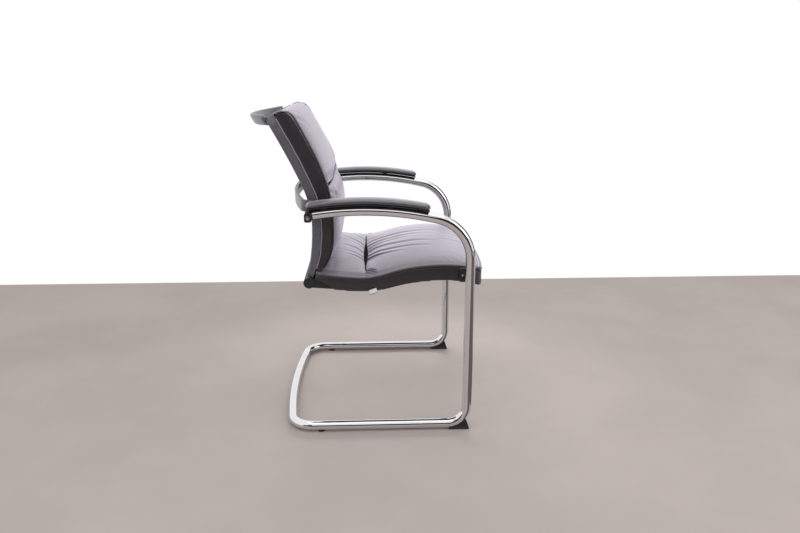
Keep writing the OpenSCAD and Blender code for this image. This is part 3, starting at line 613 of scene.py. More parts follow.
def start_material(name: str) -> tuple[bpy.types.Material, Graph, bpy.types.Node, bpy.types.NodeSocket]:
    """Starts a material with a Principled shader and Object coordinates.

    Args:
        name: the material's name.

    Returns:
        The material, its graph, the shader node and the coordinate socket.
    """
    material = bpy.data.materials.new(name)
    material.use_nodes = True
    graph = Graph(material.node_tree)
    shader = graph.node("ShaderNodeBsdfPrincipled")
    graph.node("ShaderNodeOutputMaterial", Surface=shader.outputs[0])
    return material, graph, shader, graph.node("ShaderNodeTexCoord").outputs["Object"]


@dataclass(frozen=True)
class HideFinish:
    """Leather: pebbled grain, a violet cast, rubbed places and a soft sheen."""

    name: str
    colour: Colour
    rubbed: Colour
    roughness: float = 0.42
    roughness_swing: float = 0.12
    grain_scale: float = 650.0
    grain_depth: float = 0.00022
    swell: float = 0.5
    rub: float = 0.5
    valley_shade: float = 0.45
    valley_share: float = 0.5
    valley_dull: float = 0.1
    sheen: float = 0.2
    sheen_roughness: float = 0.45
    sheen_tint: Colour = (0.74, 0.68, 0.82)
    specular: float = 0.5
    coat: float = 0.0
    coat_roughness: float = 0.3

    def build(self) -> bpy.types.Material:
        """Builds the leather material."""
        material, graph, shader, place = start_material(self.name)
        grain = effect(graph, hide_grain_group, place, Scale=self.grain_scale, Swell=self.swell)
        rub = effect(graph, rub_group, place, Amount=self.rub).outputs["Mask"]
        valley = grain.outputs["Valley"]
        tone = graph.mix_colour(rub, rgba(self.colour), rgba(self.rubbed))
        dark = rgba(self.colour, self.valley_shade)
        rough = graph.plus(graph.plus(self.roughness, rub, -self.roughness_swing), valley, self.valley_dull)
        graph.feed_all(shader, Roughness=rough, Specular_IOR_Level=self.specular, Sheen_Weight=self.sheen,
                       Base_Color=graph.mix_colour(graph.maths("MULTIPLY", valley, self.valley_share), tone, dark),
                       Sheen_Roughness=self.sheen_roughness, Sheen_Tint=rgba(self.sheen_tint),
                       Coat_Weight=self.coat, Coat_Roughness=self.coat_roughness)
        graph.bump(shader, 0.5, self.grain_depth, grain.outputs["Height"])
        return material


@dataclass(frozen=True)
class ChromeFinish:
    """Polished chrome plating with faint wipe marks."""

    name: str = "polished_chrome"
    colour: Colour = (0.80, 0.80, 0.815)
    rubbed_share: float = 0.9
    roughness: float = 0.035
    smear: float = 0.09
    ripple_depth: float = 0.00015

    def build(self) -> bpy.types.Material:
        """Builds the chrome material."""
        material, graph, shader, place = start_material(self.name)
        rub = effect(graph, rub_group, place, Amount=1.0).outputs["Mask"]
        tone = graph.mix_colour(rub, rgba(self.colour), rgba(self.colour, self.rubbed_share))
        graph.feed_all(shader, Metallic=1.0, Base_Color=tone, Roughness=graph.plus(self.roughness, rub, self.smear))
        graph.bump(shader, 0.12, self.ripple_depth, graph.noise(place, 30.0, 2.0, 0.4))
        return material


@dataclass(frozen=True)
class MouldedFinish:
    """Moulded plastic, paint or rubber with a fine spark grain, and dust near the floor where it is asked for."""

    name: str
    colour: Colour
    scuffed: Colour
    roughness: float = 0.4
    grain_scale: float = 2200.0
    grain_depth: float = 0.00006
    grain_dull: float = 0.08
    rub: float = 0.4
    coat: float = 0.0
    coat_roughness: float = 0.25
    dust: float = 0.0
    dust_colour: Colour = (0.32, 0.28, 0.25)
    specular: float = 0.5

    def build(self) -> bpy.types.Material:
        """Builds the moulded material."""
        material, graph, shader, place = start_material(self.name)
        rub = effect(graph, rub_group, place, Amount=self.rub).outputs["Mask"]
        shade = graph.mix_colour(rub, rgba(self.colour), rgba(self.scuffed))
        if self.dust:
            dust = effect(graph, dust_group, place, Amount=self.dust).outputs["Mask"]
            shade = graph.mix_colour(dust, shade, rgba(self.dust_colour))
        grain = graph.noise(place, self.grain_scale, 2.0, 0.6)
        graph.feed_all(shader, Base_Color=shade, Roughness=graph.plus(self.roughness, grain, self.grain_dull),
                       Specular_IOR_Level=self.specular, Coat_Weight=self.coat, Coat_Roughness=self.coat_roughness)
        graph.bump(shader, 0.4, self.grain_depth, grain)
        return material


@dataclass(frozen=True)
class TurnedSteelFinish:
    """Bright steel with fine turning lines round its axis across the chair."""

    name: str = "turned_steel"
    colour: Colour = (0.62, 0.62, 0.64)
    line_share: float = 0.8
    line_scale: float = 600.0
    line_depth: float = 0.00004
    line_dull: float = 0.1
    roughness: float = 0.18

    def build(self) -> bpy.types.Material:
        """Builds the steel material."""
        material, graph, shader, place = start_material(self.name)
        lines = graph.node("ShaderNodeTexWave", {"bands_direction": "Y"}, Vector=place, Scale=self.line_scale,
                           Distortion=1.5).outputs["Fac"]
        tone = graph.mix_colour(lines, rgba(self.colour), rgba(self.colour, self.line_share))
        graph.feed_all(shader, Metallic=1.0, Base_Color=tone,
                       Roughness=graph.plus(self.roughness, lines, self.line_dull))
        graph.bump(shader, 0.2, self.line_depth, lines)
        return material


@dataclass(frozen=True)
class TapeFinish:
    """Plain woven tape: two sets of threads over and under."""

    name: str = "woven_tape"
    colour: Colour = (0.86, 0.85, 0.92)
    gap_share: float = 0.75
    thread_scale: float = 900.0
    thread_depth: float = 0.0001
    roughness: float = 0.75

    def build(self) -> bpy.types.Material:
        """Builds the tape material."""
        material, graph, shader, place = start_material(self.name)
        warp, weft = (graph.node("ShaderNodeTexWave", {"bands_direction": way}, Vector=place, Scale=self.thread_scale)
                      for way in "XZ")
        weave = graph.maths("MULTIPLY", warp.outputs["Fac"], weft.outputs["Fac"])
        tone = graph.mix_colour(weave, rgba(self.colour, self.gap_share), rgba(self.colour))
        graph.feed_all(shader, Base_Color=tone, Roughness=graph.plus(self.roughness, weave, 0.1))
        graph.bump(shader, 0.4, self.thread_depth, weave)
        return material


class Finish(Enum):
    """Every finish of the chair."""

    # The same dark leather as SIDE_HIDE, given a paler colour as painted light: it stands in for the light that the
    # upper and front faces of the seat and back catch.
    LIT_FACE_HIDE = HideFinish("lit_face_hide", (0.113, 0.099, 0.131), (0.155, 0.136, 0.175), roughness=0.36, rub=0.6,
                           sheen=1.0, specular=0.9, coat=0.7, grain_depth=0.00012)
    SIDE_HIDE = HideFinish("side_hide", (0.021, 0.016, 0.022), (0.048, 0.040, 0.052), roughness=0.33, sheen=0.22,
                           rub=0.6, coat=0.35)
    # The same dark leather, given a slightly paler colour as painted light on the pads' lit tops.
    LIT_ARM_HIDE = HideFinish("lit_arm_hide", (0.030, 0.029, 0.040), (0.085, 0.082, 0.105), roughness=0.32, sheen=0.7,
                          rub=0.9, specular=1.0, coat=0.9)
    PIPING_HIDE = HideFinish("piping_hide", (0.026, 0.022, 0.027), (0.085, 0.078, 0.090), roughness=0.24, sheen=0.1,
                             rub=0.9, grain_depth=0.00006, coat=0.7, specular=0.8)
    # Pale leather for the thin welt where the gusset meets the frame and for the strand on each gusset's front edge;
    # on that strand the pale colour is a painted highlight of the rolled edge.
    WELT = HideFinish("pale_welt_and_highlight", (0.36, 0.33, 0.37), (0.55, 0.52, 0.56), roughness=0.4, rub=1.0, specular=0.8,
                      grain_depth=0.00005)
    CHROME = ChromeFinish()
    STEEL = TurnedSteelFinish()
    MOULDED = MouldedFinish("black_moulding", (0.014, 0.014, 0.016), (0.035, 0.035, 0.038), roughness=0.38)
    BACK_MOULDED = MouldedFinish("back_moulding", (0.092, 0.089, 0.108), (0.20, 0.195, 0.225), roughness=0.38,
                                 rub=0.8, coat=0.2)
    PAINTED = MouldedFinish("painted_band", (0.135, 0.130, 0.160), (0.24, 0.235, 0.27), roughness=0.32, coat=0.25,
                            grain_scale=900.0)
    RUBBER = MouldedFinish("foot_rubber", (0.010, 0.010, 0.011), (0.03, 0.029, 0.028), roughness=0.6, dust=0.2,
                           grain_depth=0.0001)
    FOAM = MouldedFinish("hidden_foam", (0.012, 0.011, 0.012), (0.02, 0.018, 0.02), roughness=0.9, specular=0.05)
    TAPE = TapeFinish()
    TAPE_EDGE = TapeFinish("tape_selvedge", (0.10, 0.10, 0.17))
    THREAD = MouldedFinish("black_thread", (0.02, 0.018, 0.022), (0.05, 0.045, 0.055), roughness=0.55,
                           grain_depth=0.00005)


@cache
def material_of(finish: Finish) -> bpy.types.Material:
    """The material of a finish, built on first use."""
    return finish.value.build()


def placed(obj: bpy.types.Object, body: Body, finish: Finish, *nodes: str) -> bpy.types.Object:
    """Gives a finished piece its material and its body, and hides the CAD nodes that it stands for."""
    if not obj.data.materials:
        obj.data.materials.append(material_of(finish))
    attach(obj, body.value)
    if nodes:
        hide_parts(*nodes)
    log.info("piece %s: %d points on %s", obj.name, len(obj.data.vertices), body.value)
    return obj


# Geometry Nodes that repeat small pieces along a path


@dataclass(frozen=True)
class StitchTree:
    """A node tree that lays stitches along a mesh line, each a short rounded thread.

    Attributes:
        pitch: distance between stitches.
        length: length of one stitch.
        radius: radius of the thread.
    """

    pitch: float = 0.0052
    length: float = 0.0036
    radius: float = 0.00042

    def build(self, material: bpy.types.Material) -> bpy.types.NodeTree:
        """Builds the tree for one thread material."""
        tree = bpy.data.node_groups.new("thread_stitches", "GeometryNodeTree")
        tree.interface.new_socket("Geometry", in_out="INPUT", socket_type="NodeSocketGeometry")
        for name, value in (("Pitch", self.pitch), ("Length", self.length), ("Radius", self.radius)):
            socket = tree.interface.new_socket(name, in_out="INPUT", socket_type="NodeSocketFloat")
            socket.default_value = value
        tree.interface.new_socket("Geometry", in_out="OUTPUT", socket_type="NodeSocketGeometry")
        graph = Graph(tree)
        entry = graph.node("NodeGroupInput")
        curve = graph.node("GeometryNodeMeshToCurve", Mesh=entry.outputs["Geometry"])
        spaced = graph.node("GeometryNodeCurveToPoints", {"mode": "LENGTH"}, Curve=curve.outputs[0],
                            Length=entry.outputs["Pitch"])
        thread = graph.node("GeometryNodeMeshCylinder", Vertices=6, Radius=entry.outputs["Radius"],
                            Depth=entry.outputs["Length"], Side_Segments=3)
        belly = graph.node("GeometryNodeSetPosition", Geometry=thread.outputs["Mesh"])
        self._taper(graph, belly, entry)
        laid = graph.node("GeometryNodeInstanceOnPoints", Points=spaced.outputs["Points"],
                          Instance=belly.outputs["Geometry"], Rotation=spaced.outputs["Rotation"])
        real = graph.node("GeometryNodeRealizeInstances", Geometry=laid.outputs["Instances"])
        smooth = graph.node("GeometryNodeSetShadeSmooth", Geometry=real.outputs["Geometry"])
        dressed = graph.node("GeometryNodeSetMaterial", Geometry=smooth.outputs["Geometry"], Material=material)
        graph.node("NodeGroupOutput", Geometry=dressed.outputs["Geometry"])
        return tree

    @staticmethod
    def _taper(graph: Graph, belly: bpy.types.Node, entry: bpy.types.Node) -> None:
        """Draws the two ends of a stitch in, so that it dives into the hide."""
        place = graph.node("GeometryNodeInputPosition").outputs[0]
        split = graph.node("ShaderNodeSeparateXYZ", Vector=place)
        half = graph.maths("MULTIPLY", entry.outputs["Length"], 0.5)
        share = graph.maths("DIVIDE", split.outputs["Z"], half)
        thin = graph.maths("SUBTRACT", 1.0, graph.maths("MULTIPLY", graph.maths("POWER", share, 2.0), 0.6))
        joined = graph.node("ShaderNodeCombineXYZ", X=graph.maths("MULTIPLY", split.outputs["X"], thin),
                            Y=graph.maths("MULTIPLY", split.outputs["Y"], thin), Z=split.outputs["Z"])
        graph.feed(belly, "Position", joined.outputs[0])


def stitched(name: str, path: np.ndarray, tree: bpy.types.NodeTree, body: Body) -> bpy.types.Object:
    """Lays a row of stitches along a path and places it on a body.

    Args:
        name: the row's name.
        path: rows of places on the hide.
        tree: the stitch tree.
        body: the body that the row rides on.

    Returns:
        The finished row of stitches.
    """
    mesh = bpy.data.meshes.new(name)
    mesh.from_pydata([tuple(p) for p in path], [(i, i + 1) for i in range(len(path) - 1)], [])
    obj = linked(name, mesh)
    obj.modifiers.new("stitches", "NODES").node_group = tree
    return placed(baked(obj), body, Finish.THREAD)


# Padding

CLOTH = {"vertex_group_mass": "held", "use_pressure": True, "mass": 0.3, "tension_stiffness": 12.0,
         "compression_stiffness": 8.0, "shear_stiffness": 4.0, "bending_stiffness": 0.6}


@dataclass
class Padding:
    """One padded piece: a CAD solid made into even quads, and puffed by cloth pressure where asked.

    Attributes:
        name: the piece's name.
        node: the CAD solid that it stands for.
        holders: nodes that hold the hide down, with the distance within which they do.
        voxel: size of the even quads.
        cap: furthest that a point may swell.
        pressure: cloth pressure.
        shrink: how far the piece starts inside the solid, so that it swells back into it.
        cloth: whether the piece is puffed, or only made soft.
        levels: rounds of subdivision at the end.
        rounds: rounds of softening of its edges.
    """

    name: str
    node: str
    holders: tuple[tuple[str, float], ...]
    voxel: float = 0.005
    cap: float = 0.006
    pressure: float = 4.0
    shrink: float = 0.0
    cloth: bool = True
    levels: int = 1
    rounds: int = 2
    obj: bpy.types.Object | None = None
    start: np.ndarray | None = None

    def prepare(self) -> None:
        """Makes the even mesh and its held points, and adds the cloth."""
        self.obj = remeshed(welded_copy(self.node, self.name, flat_angle=0.0), self.voxel)
        self.obj.data.materials.clear()
        relaxed(self.obj, self.rounds)
        points = coordinates(self.obj)
        self.start = points
        if not self.cloth:
            return
        held = self._held(points)
        if self.shrink:
            points = points - normals(self.obj) * (self.shrink * ~held)[:, None]
            set_coordinates(self.obj, points)
        self.start = points
        group = self.obj.vertex_groups.new(name="held")
        group.add([int(i) for i in np.flatnonzero(held)], 1.0, "REPLACE")
        cloth = self.obj.modifiers.new("cloth", "CLOTH")
        for name, value in CLOTH.items():
            setattr(cloth.settings, name, value)
        cloth.settings.uniform_pressure_force = self.pressure
        cloth.settings.effector_weights.gravity = 0.0
        cloth.collision_settings.use_collision = False

    def _held(self, points: np.ndarray) -> np.ndarray:
        """Marks the points that lie within reach of a holder."""
        marks = np.zeros(len(points), bool)
        graph = bpy.context.evaluated_depsgraph_get()
        for node, reach in self.holders:
            tree = BVHTree.FromObject(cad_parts[node], graph)
            for i, point in enumerate(points):
                if not marks[i]:
                    marks[i] = tree.find_nearest(Vector(point), reach)[0] is not None
        return marks

    def settle(self) -> None:
        """Takes the swollen shape, capped, and removes the cloth."""
        if self.obj.modifiers:
            graph = bpy.context.evaluated_depsgraph_get()
            swollen = coordinates(self.obj.evaluated_get(graph))
            self.obj.modifiers.clear()
            self.obj.vertex_groups.clear()
            move = swollen - self.start
            far = np.linalg.norm(move, axis=1)
            scale = np.minimum(1.0, self.cap / np.maximum(far, 1e-9))
            set_coordinates(self.obj, self.start + move * scale[:, None])
            relaxed(self.obj, 2, 0.4)
        if self.levels:
            subdivided(self.obj, self.levels)

    def place(self, body: Body, finish: Finish, fill: float) -> None:
        """Gives the finished piece its body and finish; its fill, how much of it is padding, is not used."""
        placed(self.obj, body, finish, self.node)


class PaddingRoom:
    """Puffs all padded pieces in one short simulation."""

    frames = 20

    def __init__(self) -> None:
        """Starts with no piece."""
        self.pads: list[Padding] = []

    def add(self, pad: Padding) -> Padding:
        """Adds a piece and makes it ready."""
        pad.prepare()
        self.pads.append(pad)
        return pad

    def run(self) -> None:
        """Steps the simulation once for all pieces, and settles each."""
        scene = bpy.context.scene
        scene.frame_start = 1
        scene.frame_end = self.frames
        for number in range(1, self.frames + 1):
            scene.frame_set(number)
        for pad in self.pads:
            pad.settle()
        scene.frame_set(1)
        log.info("padding: %d pieces puffed", len(self.pads))


# Sub-assemblies


@dataclass
class SteelTube:
    """The one bent tube that makes both arms, both uprights and the base, with its feet."""

    radius: float = 0.0125
    half_w: float = 0.279
    upright_x: float = 0.258
    foot_h: float = 0.002
    crown_z: float = 0.598
    crown_back: float = 0.2715
    arch_r: float = 0.814
    bend_r: float = 0.110
    reach: float = 0.393
    base_bend_r: float = 0.052
    base_reach: float = 0.484
    bow_r: float = 1.8
    corner_r: float = 0.062
    sides: int = 40
    arc_step: float = 0.004

    def arc(self, centre: Pair, radius: float, start: float, end: float) -> list[Pair]:
        """Places along an arc from one angle in degrees to another."""
        count = max(6, int(abs(math.radians(end - start)) * radius / self.arc_step))
        angles = [math.radians(start + (end - start) * i / count) for i in range(count + 1)]
        return [(centre[0] + radius * math.cos(a), centre[1] + radius * math.sin(a)) for a in angles]

    def side_route(self) -> list[Point]:
        """The middle line of the left half, from the rear end of the arm to the middle of the base."""
        base_z = self.foot_h + self.radius
        arch = (self.upright_x - self.crown_back, self.crown_z - self.arch_r)
        span = self.arch_r - self.bend_r
        bend_x = self.upright_x - self.bend_r
        bend_a = math.degrees(math.acos((bend_x - arch[0]) / span))
        bend = (bend_x, arch[1] + span * math.sin(math.radians(bend_a)))
        end_a = math.degrees(math.acos((self.upright_x - self.reach - arch[0]) / self.arch_r))
        foot = (self.upright_x - self.base_bend_r, base_z + self.base_bend_r)
        bow_c = self.upright_x - self.base_reach + self.bow_r
        corner_y = self.half_w - self.corner_r
        corner_x = bow_c - math.sqrt((self.bow_r - self.corner_r) ** 2 - corner_y ** 2)
        bow_a = math.degrees(math.asin(corner_y / (self.bow_r - self.corner_r)))
        upper = self.arc(arch, self.arch_r, end_a, bend_a) + self.arc(bend, self.bend_r, bend_a, 0)[1:]
        steps = 24
        upper += [(self.upright_x, bend[1] + (foot[1] - bend[1]) * i / steps) for i in range(1, steps)]
        upper += self.arc(foot, self.base_bend_r, 0, -90)
        route = [(x, self.half_w, z) for x, z in upper]
        route += [(foot[0] + (corner_x - foot[0]) * i / steps, self.half_w, base_z) for i in range(1, steps)]
        floor = self.arc((corner_x, corner_y), self.corner_r, 90, 180 - bow_a)
        floor += self.arc((bow_c, 0.0), self.bow_r, 180 - bow_a, 180)[1:]
        return route + [(x, y, base_z) for x, y in floor]

    def build(self) -> None:
        """Builds the tube, the wedge feet and the glides."""
        half = self.side_route()
        route = np.array(half + [(x, -y, z) for x, y, z in reversed(half[:-1])])
        tube = swept("chromed_tube", route, self.radius, self.sides, up=(0.0, 1.0, 0.0))
        placed(smoothed(tube, 60), Body.FRAME, Finish.CHROME, "frame_tube")
        for side in Side:
            for node, name, ease in (("front_foot", "wedge_foot", 0.0012), ("rear_glide", "base_glide", 0.0008)):
                piece = eased(welded_copy(f"{node}_{side.word}", f"{name}_{side.word}"), ease)
                placed(smoothed(piece, 50), Body.FRAME, Finish.RUBBER, f"{node}_{side.word}")


@dataclass(frozen=True)
class HardPart:
    """A moulded, painted or turned piece: a welded copy of its CAD solid with eased edges."""

    node: str
    body: Body
    finish: Finish
    ease: float = 0.0

    def build(self, ending: str = "") -> None:
        """Builds the piece, or the one of a pair that the ending names."""
        node = self.node + ending
        piece = welded_copy(node, f"{node}_shaped")
        if self.ease:
            eased(piece, self.ease)
        placed(smoothed(piece, 38), self.body, self.finish, node)


SINGLE_PARTS = (
    HardPart("rear_brace", Body.FRAME, Finish.PAINTED, 0.0016),
    HardPart("grab_handle", Body.BACK, Finish.PAINTED),
    HardPart("back_frame", Body.BACK, Finish.BACK_MOULDED),
    HardPart("hinge_barrel", Body.BACK, Finish.MOULDED, 0.0008),
    HardPart("hinge_rod", Body.BACK, Finish.STEEL, 0.0004),
    HardPart("seat_shell", Body.SEAT, Finish.MOULDED),
)
PAIRED_PARTS = (
    HardPart("arm_base", Body.FRAME, Finish.MOULDED, 0.0006),
    HardPart("arm_joint", Body.FRAME, Finish.MOULDED, 0.0008),
    HardPart("pivot_pin", Body.FRAME, Finish.STEEL, 0.0005),
    HardPart("seat_mount", Body.FRAME, Finish.MOULDED, 0.0009),
    HardPart("back_lug", Body.BACK, Finish.MOULDED, 0.0008),
    HardPart("hinge_arm", Body.SEAT, Finish.MOULDED, 0.0006),
    HardPart("hinge_cap", Body.SEAT, Finish.MOULDED, 0.0009),
    HardPart("seat_pin", Body.SEAT, Finish.STEEL, 0.0004),
)


class ArmPads:
    """The leather pads on the arms."""

    def build(self, room: PaddingRoom) -> None:
        """Adds both pads to the padding room."""
        self.pads = [room.add(Padding(f"arm_cushion_{side.word}", f"arm_pad_{side.word}",
                                      ((f"arm_base_{side.word}", 0.0012),), voxel=0.0035, cap=0.0012, pressure=2.0))
                     for side in Side]

    def dress(self) -> None:
        """Finishes the pads after the simulation."""
        for pad in self.pads:
            pad.place(Body.FRAME, Finish.LIT_ARM_HIDE, 0.9)


@dataclass(frozen=True)
class Wrinkles:
    """Pulled folds that fan out from a crease, as height over the hide.

    Attributes:
        count: number of folds.
        depth: depth of the deepest fold.
        width: width of a fold.
        reach: how far the folds run from the crease.
        fan: how much the folds spread as they run.
        seed: seed of the spacing.
        span: half the width over which the folds start.
        lean: slope that all the folds share.
        flare: how much wider a fold gets over the reach.
        lip: height of the ridge beside a fold, as a share of its depth.
        lip_side: distance of that ridge, in widths.
        root: run over which a fold starts.
    """

    count: int
    depth: float
    width: float
    reach: float
    fan: float
    seed: int
    span: float = 0.2
    lean: float = 0.0
    flare: float = 0.9
    lip: float = 0.55
    lip_side: float = 1.3
    root: float = 0.006

    def height(self, along: np.ndarray, across: np.ndarray) -> np.ndarray:
        """Height of the hide at distances along from the crease and across the chair."""
        dice = np.random.default_rng(self.seed)
        total = np.zeros_like(along)
        for number in range(self.count):
            start = self.span * (2 * (number + dice.uniform(0.2, 0.8)) / self.count - 1)
            slope = self.lean + self.fan * start / self.span + dice.uniform(-0.05, 0.05)
            bend = dice.uniform(-0.25, 0.25)
            reach = self.reach * dice.uniform(0.45, 1.0)
            width = self.width * dice.uniform(0.7, 1.3) * (1 + self.flare * along / self.reach)
            line = start + slope * along + bend * along * along
            gap = (across - line) / width
            fade = np.clip(1 - along / reach, 0, 1) ** 0.8 * np.clip(along / self.root, 0, 1)
            size = self.depth * dice.uniform(0.5, 1.0)
            total += size * fade * (self.lip * bell(gap, self.lip_side, 1.0) - bell(gap, 0.0, 1.0))
        return total


@dataclass
class SeatPadding:
    """The leather of the seat: border, piping and two cushions that pinch at the crease.

    Attributes:
        form: the seat's line and outline.
        holders: nodes that hold the hide of the cushions, with their reach.
        long_folds: folds that run forward from the crease, about fold_middle across the chair.
        fore_folds: folds that run back from the front, between the places fore_x, about fore_middle.
        short_folds: folds that run rearward from the crease.
        slack_folds: folds that run forward from slack_x, near the back.
        tucks: place, bend and depth of each gathered fold at the right end of the crease.
        pinch_reach: run over which the crease draws the hide.
        pinch_middle: middle and half width of the open part of the crease.
        pinch_end: where the crease's ends begin to close more, and over what run.
        crease_open, crease_close, end_close: moves of the crease's edges at its middle, sides and ends.
        far_rise, far_place: rise of the far side of the cushions, and where it begins and over what run.
        rear_place, rear_tuck, rear_fall: where the rear edge of the cushions is drawn rearward and down.
        roll, sag, top_cut, border_reach: swell, low droop, top cut and rear reach of the border.
        roll_side: share of the half width outside which the border swells.
        sag_place, reach_place: where the droop and the rear reach begin, from the rear, and over what run.
        bead_r, bead_sink, bead_lift, bead_start: radius, outward move, height and start of the piping.
        seam_r, seam_inset, seam_lift, seam_start: the same of the roll inside the piping.
        stitch_insets: how far inside the border's top and low edges the stitches run.
        stitch_out, stitch_start: how far outside the border they lie, and their start.
    """

    form: SeatForm = SeatForm()
    holders: tuple[tuple[str, float], ...] = (("seat_foam", 0.0022), ("seat_border", 0.0022))
    long_folds: tuple[Wrinkles, ...] = (Wrinkles(6, 0.0042, 0.0065, 0.24, 0.2, 11, span=0.10, lean=-0.16),
                                        Wrinkles(9, 0.0022, 0.0042, 0.10, 0.3, 23, span=0.13, lean=-0.2))
    fold_middle: float = 0.02
    fore_folds: Wrinkles = Wrinkles(3, 0.0016, 0.006, 0.12, 0.1, 41, span=0.16)
    fore_x: Pair = (0.18, 0.30)
    fore_middle: float = 0.06
    short_folds: Wrinkles = Wrinkles(6, 0.0026, 0.0055, 0.10, 0.55, 7, span=0.13, lean=0.9)
    slack_folds: Wrinkles = Wrinkles(7, 0.0018, 0.0045, 0.06, -0.3, 17, span=0.15)
    slack_x: float = -0.118
    tucks: tuple[Point, ...] = ((-0.178, 12.0, 0.0075), (-0.194, 7.0, 0.008), (-0.208, 2.0, 0.0025))
    tuck_slope: float = 0.55
    tuck_reach: float = 0.032
    tuck_width: float = 0.0036
    tuck_lip: float = 0.4
    tuck_lip_side: float = 1.6
    pinch_reach: float = 0.03
    pinch_middle: Pair = (-0.01, 0.125)
    pinch_end: Pair = (0.165, 0.04)
    crease_open: float = 0.0018
    crease_close: float = 0.0034
    end_close: float = 0.0022
    far_rise: float = 0.0055
    far_place: Pair = (0.08, 0.11)
    rear_place: Pair = (-0.104, -0.016)
    rear_tuck: float = 0.0145
    rear_fall: float = 0.008
    roll: float = 0.002
    roll_side: float = 0.96
    sag: float = 0.0042
    sag_place: Pair = (0.005, 0.06)
    top_cut: float = 0.0018
    border_reach: float = 0.0065
    reach_place: Pair = (0.016, -0.012)
    bead_r: float = 0.0034
    bead_sink: float = 0.001
    bead_lift: float = 0.0012
    bead_start: float = 0.006
    seam_r: float = 0.0038
    seam_inset: float = 0.008
    seam_lift: float = 0.0012
    seam_start: float = 0.004
    stitch_insets: Pair = (0.005, 0.006)
    stitch_out: float = 0.0011
    stitch_start: float = 0.022

    def build(self, room: PaddingRoom) -> None:
        """Adds the seat's padded pieces to the padding room."""
        self.front = room.add(Padding("thigh_cushion", "seat_cushion_front", self.holders, voxel=0.0042, cap=0.007,
                                      shrink=0.003))
        self.rear = room.add(Padding("rump_cushion", "seat_cushion_rear", self.holders, voxel=0.004, cap=0.004,
                                     shrink=0.0015))
        self.border = room.add(Padding("seat_border_roll", "seat_border", (), voxel=0.003, cloth=False, rounds=9))
        self.core = room.add(Padding("seat_core", "seat_foam", (), voxel=0.006, cloth=False, levels=0))

    def dress(self, stitches: bpy.types.NodeTree) -> None:
        """Wrinkles the cushions, lays the piping and stitches, and places all pieces."""
        self._wrinkle_front()
        self._wrinkle_rear()
        self._roll_border()
        for pad in (self.front, self.rear):
            points = coordinates(pad.obj)
            points[:, 2] += self.far_rise * rise(points[:, 1], *self.far_place)
            set_coordinates(pad.obj, points)
        for pad in (self.front, self.rear, self.border, self.core):
            set_coordinates(pad.obj, self.form.settled(coordinates(pad.obj)))
        self.front.place(Body.SEAT, Finish.LIT_FACE_HIDE, 0.75)
        self.rear.place(Body.SEAT, Finish.LIT_FACE_HIDE, 0.7)
        self.border.place(Body.SEAT, Finish.SIDE_HIDE, 0.9)
        self.core.place(Body.SEAT, Finish.FOAM, 1.0)
        top = self.form.half_border
        bead = self._round(self.bead_r - self.bead_sink, top, self.bead_start, self.bead_lift)
        placed(swept("seat_bead", bead, self.bead_r, 14), Body.SEAT, Finish.PIPING_HIDE, "seat_piping")
        seam = self._round(self.seam_inset, top, self.seam_start, self.seam_lift)
        placed(swept("seat_seam_roll", seam, self.seam_r, 12), Body.SEAT, Finish.LIT_FACE_HIDE)
        for name, above in (("top", top - self.stitch_insets[0]), ("low", self.stitch_insets[1] - top)):
            row = self._round(-self.stitch_out, above, self.stitch_start)
            stitched(f"border_stitches_{name}", row, stitches, Body.SEAT)

    def _round(self, inset: float, above: float, start: float, lift: float = 0.0) -> np.ndarray:
        """A settled path round the seat that starts a little forward of its rear end."""
        return self.form.settled(self.form.rim_path(inset, above, self.form.line.start[0] + start, lift))

    def _roll_border(self) -> None:
        """Puffs the middle height of the border out a little, so that it reads as a stuffed roll."""
        points = coordinates(self.border.obj)
        over = (points[:, 2] - self.form.line_heights(points[:, 0])) / self.form.half_border
        side = np.abs(points[:, 1]) / self.form.half_w > self.roll_side
        points[:, 1] += np.sign(points[:, 1]) * side * self.roll * dome(over, 0.0, 1.0)
        rear = self.form.line.start[0]
        fore = rise(points[:, 0] - rear, *self.sag_place)
        points[:, 2] -= self.sag * eased_step(-over) * fore + self.top_cut * eased_step(over * 2 - 1)
        points[:, 0] -= self.border_reach * rise(points[:, 0], rear + self.reach_place[0], self.reach_place[1])
        set_coordinates(self.border.obj, points)

    def _pinch(self, points: np.ndarray, way: int) -> None:
        """Draws the cushion's edge back from the crease at the middle, and closes it towards both ends."""
        gap = np.clip(1 - np.abs(points[:, 0] - self.form.crease_x) / self.pinch_reach, 0, 1)
        middle = dome(points[:, 1], *self.pinch_middle)
        end = rise(np.abs(points[:, 1]), *self.pinch_end)
        shut = self.crease_close + self.end_close * end
        points[:, 0] += way * gap * (self.crease_open * middle - shut * (1 - middle))

    def _wrinkle_front(self) -> None:
        """Fans long folds forward from the crease, and gathers a tuck at its right end."""
        points, out = coordinates(self.front.obj), normals(self.front.obj)
        run = np.maximum(points[:, 0] - self.form.crease_x, 0)
        folds = sum(row.height(run, points[:, 1] - self.fold_middle) for row in self.long_folds)
        low, high = self.fore_x
        folds += self.fore_folds.height(np.maximum(high - points[:, 0], 0) * (points[:, 0] > low),
                                        points[:, 1] - self.fore_middle)
        for start, bend, depth in self.tucks:
            line = start - self.tuck_slope * run - bend * run * run
            fade = np.clip(1 - run / self.tuck_reach, 0, 1) ** 0.5
            gap = (points[:, 1] - line) / self.tuck_width
            folds += depth * fade * (self.tuck_lip * bell(gap, -self.tuck_lip_side, 1.0) - bell(gap, 0.0, 1.0))
        points = pushed(points, out, folds, 2)
        self._pinch(points, 1)
        set_coordinates(self.front.obj, points)

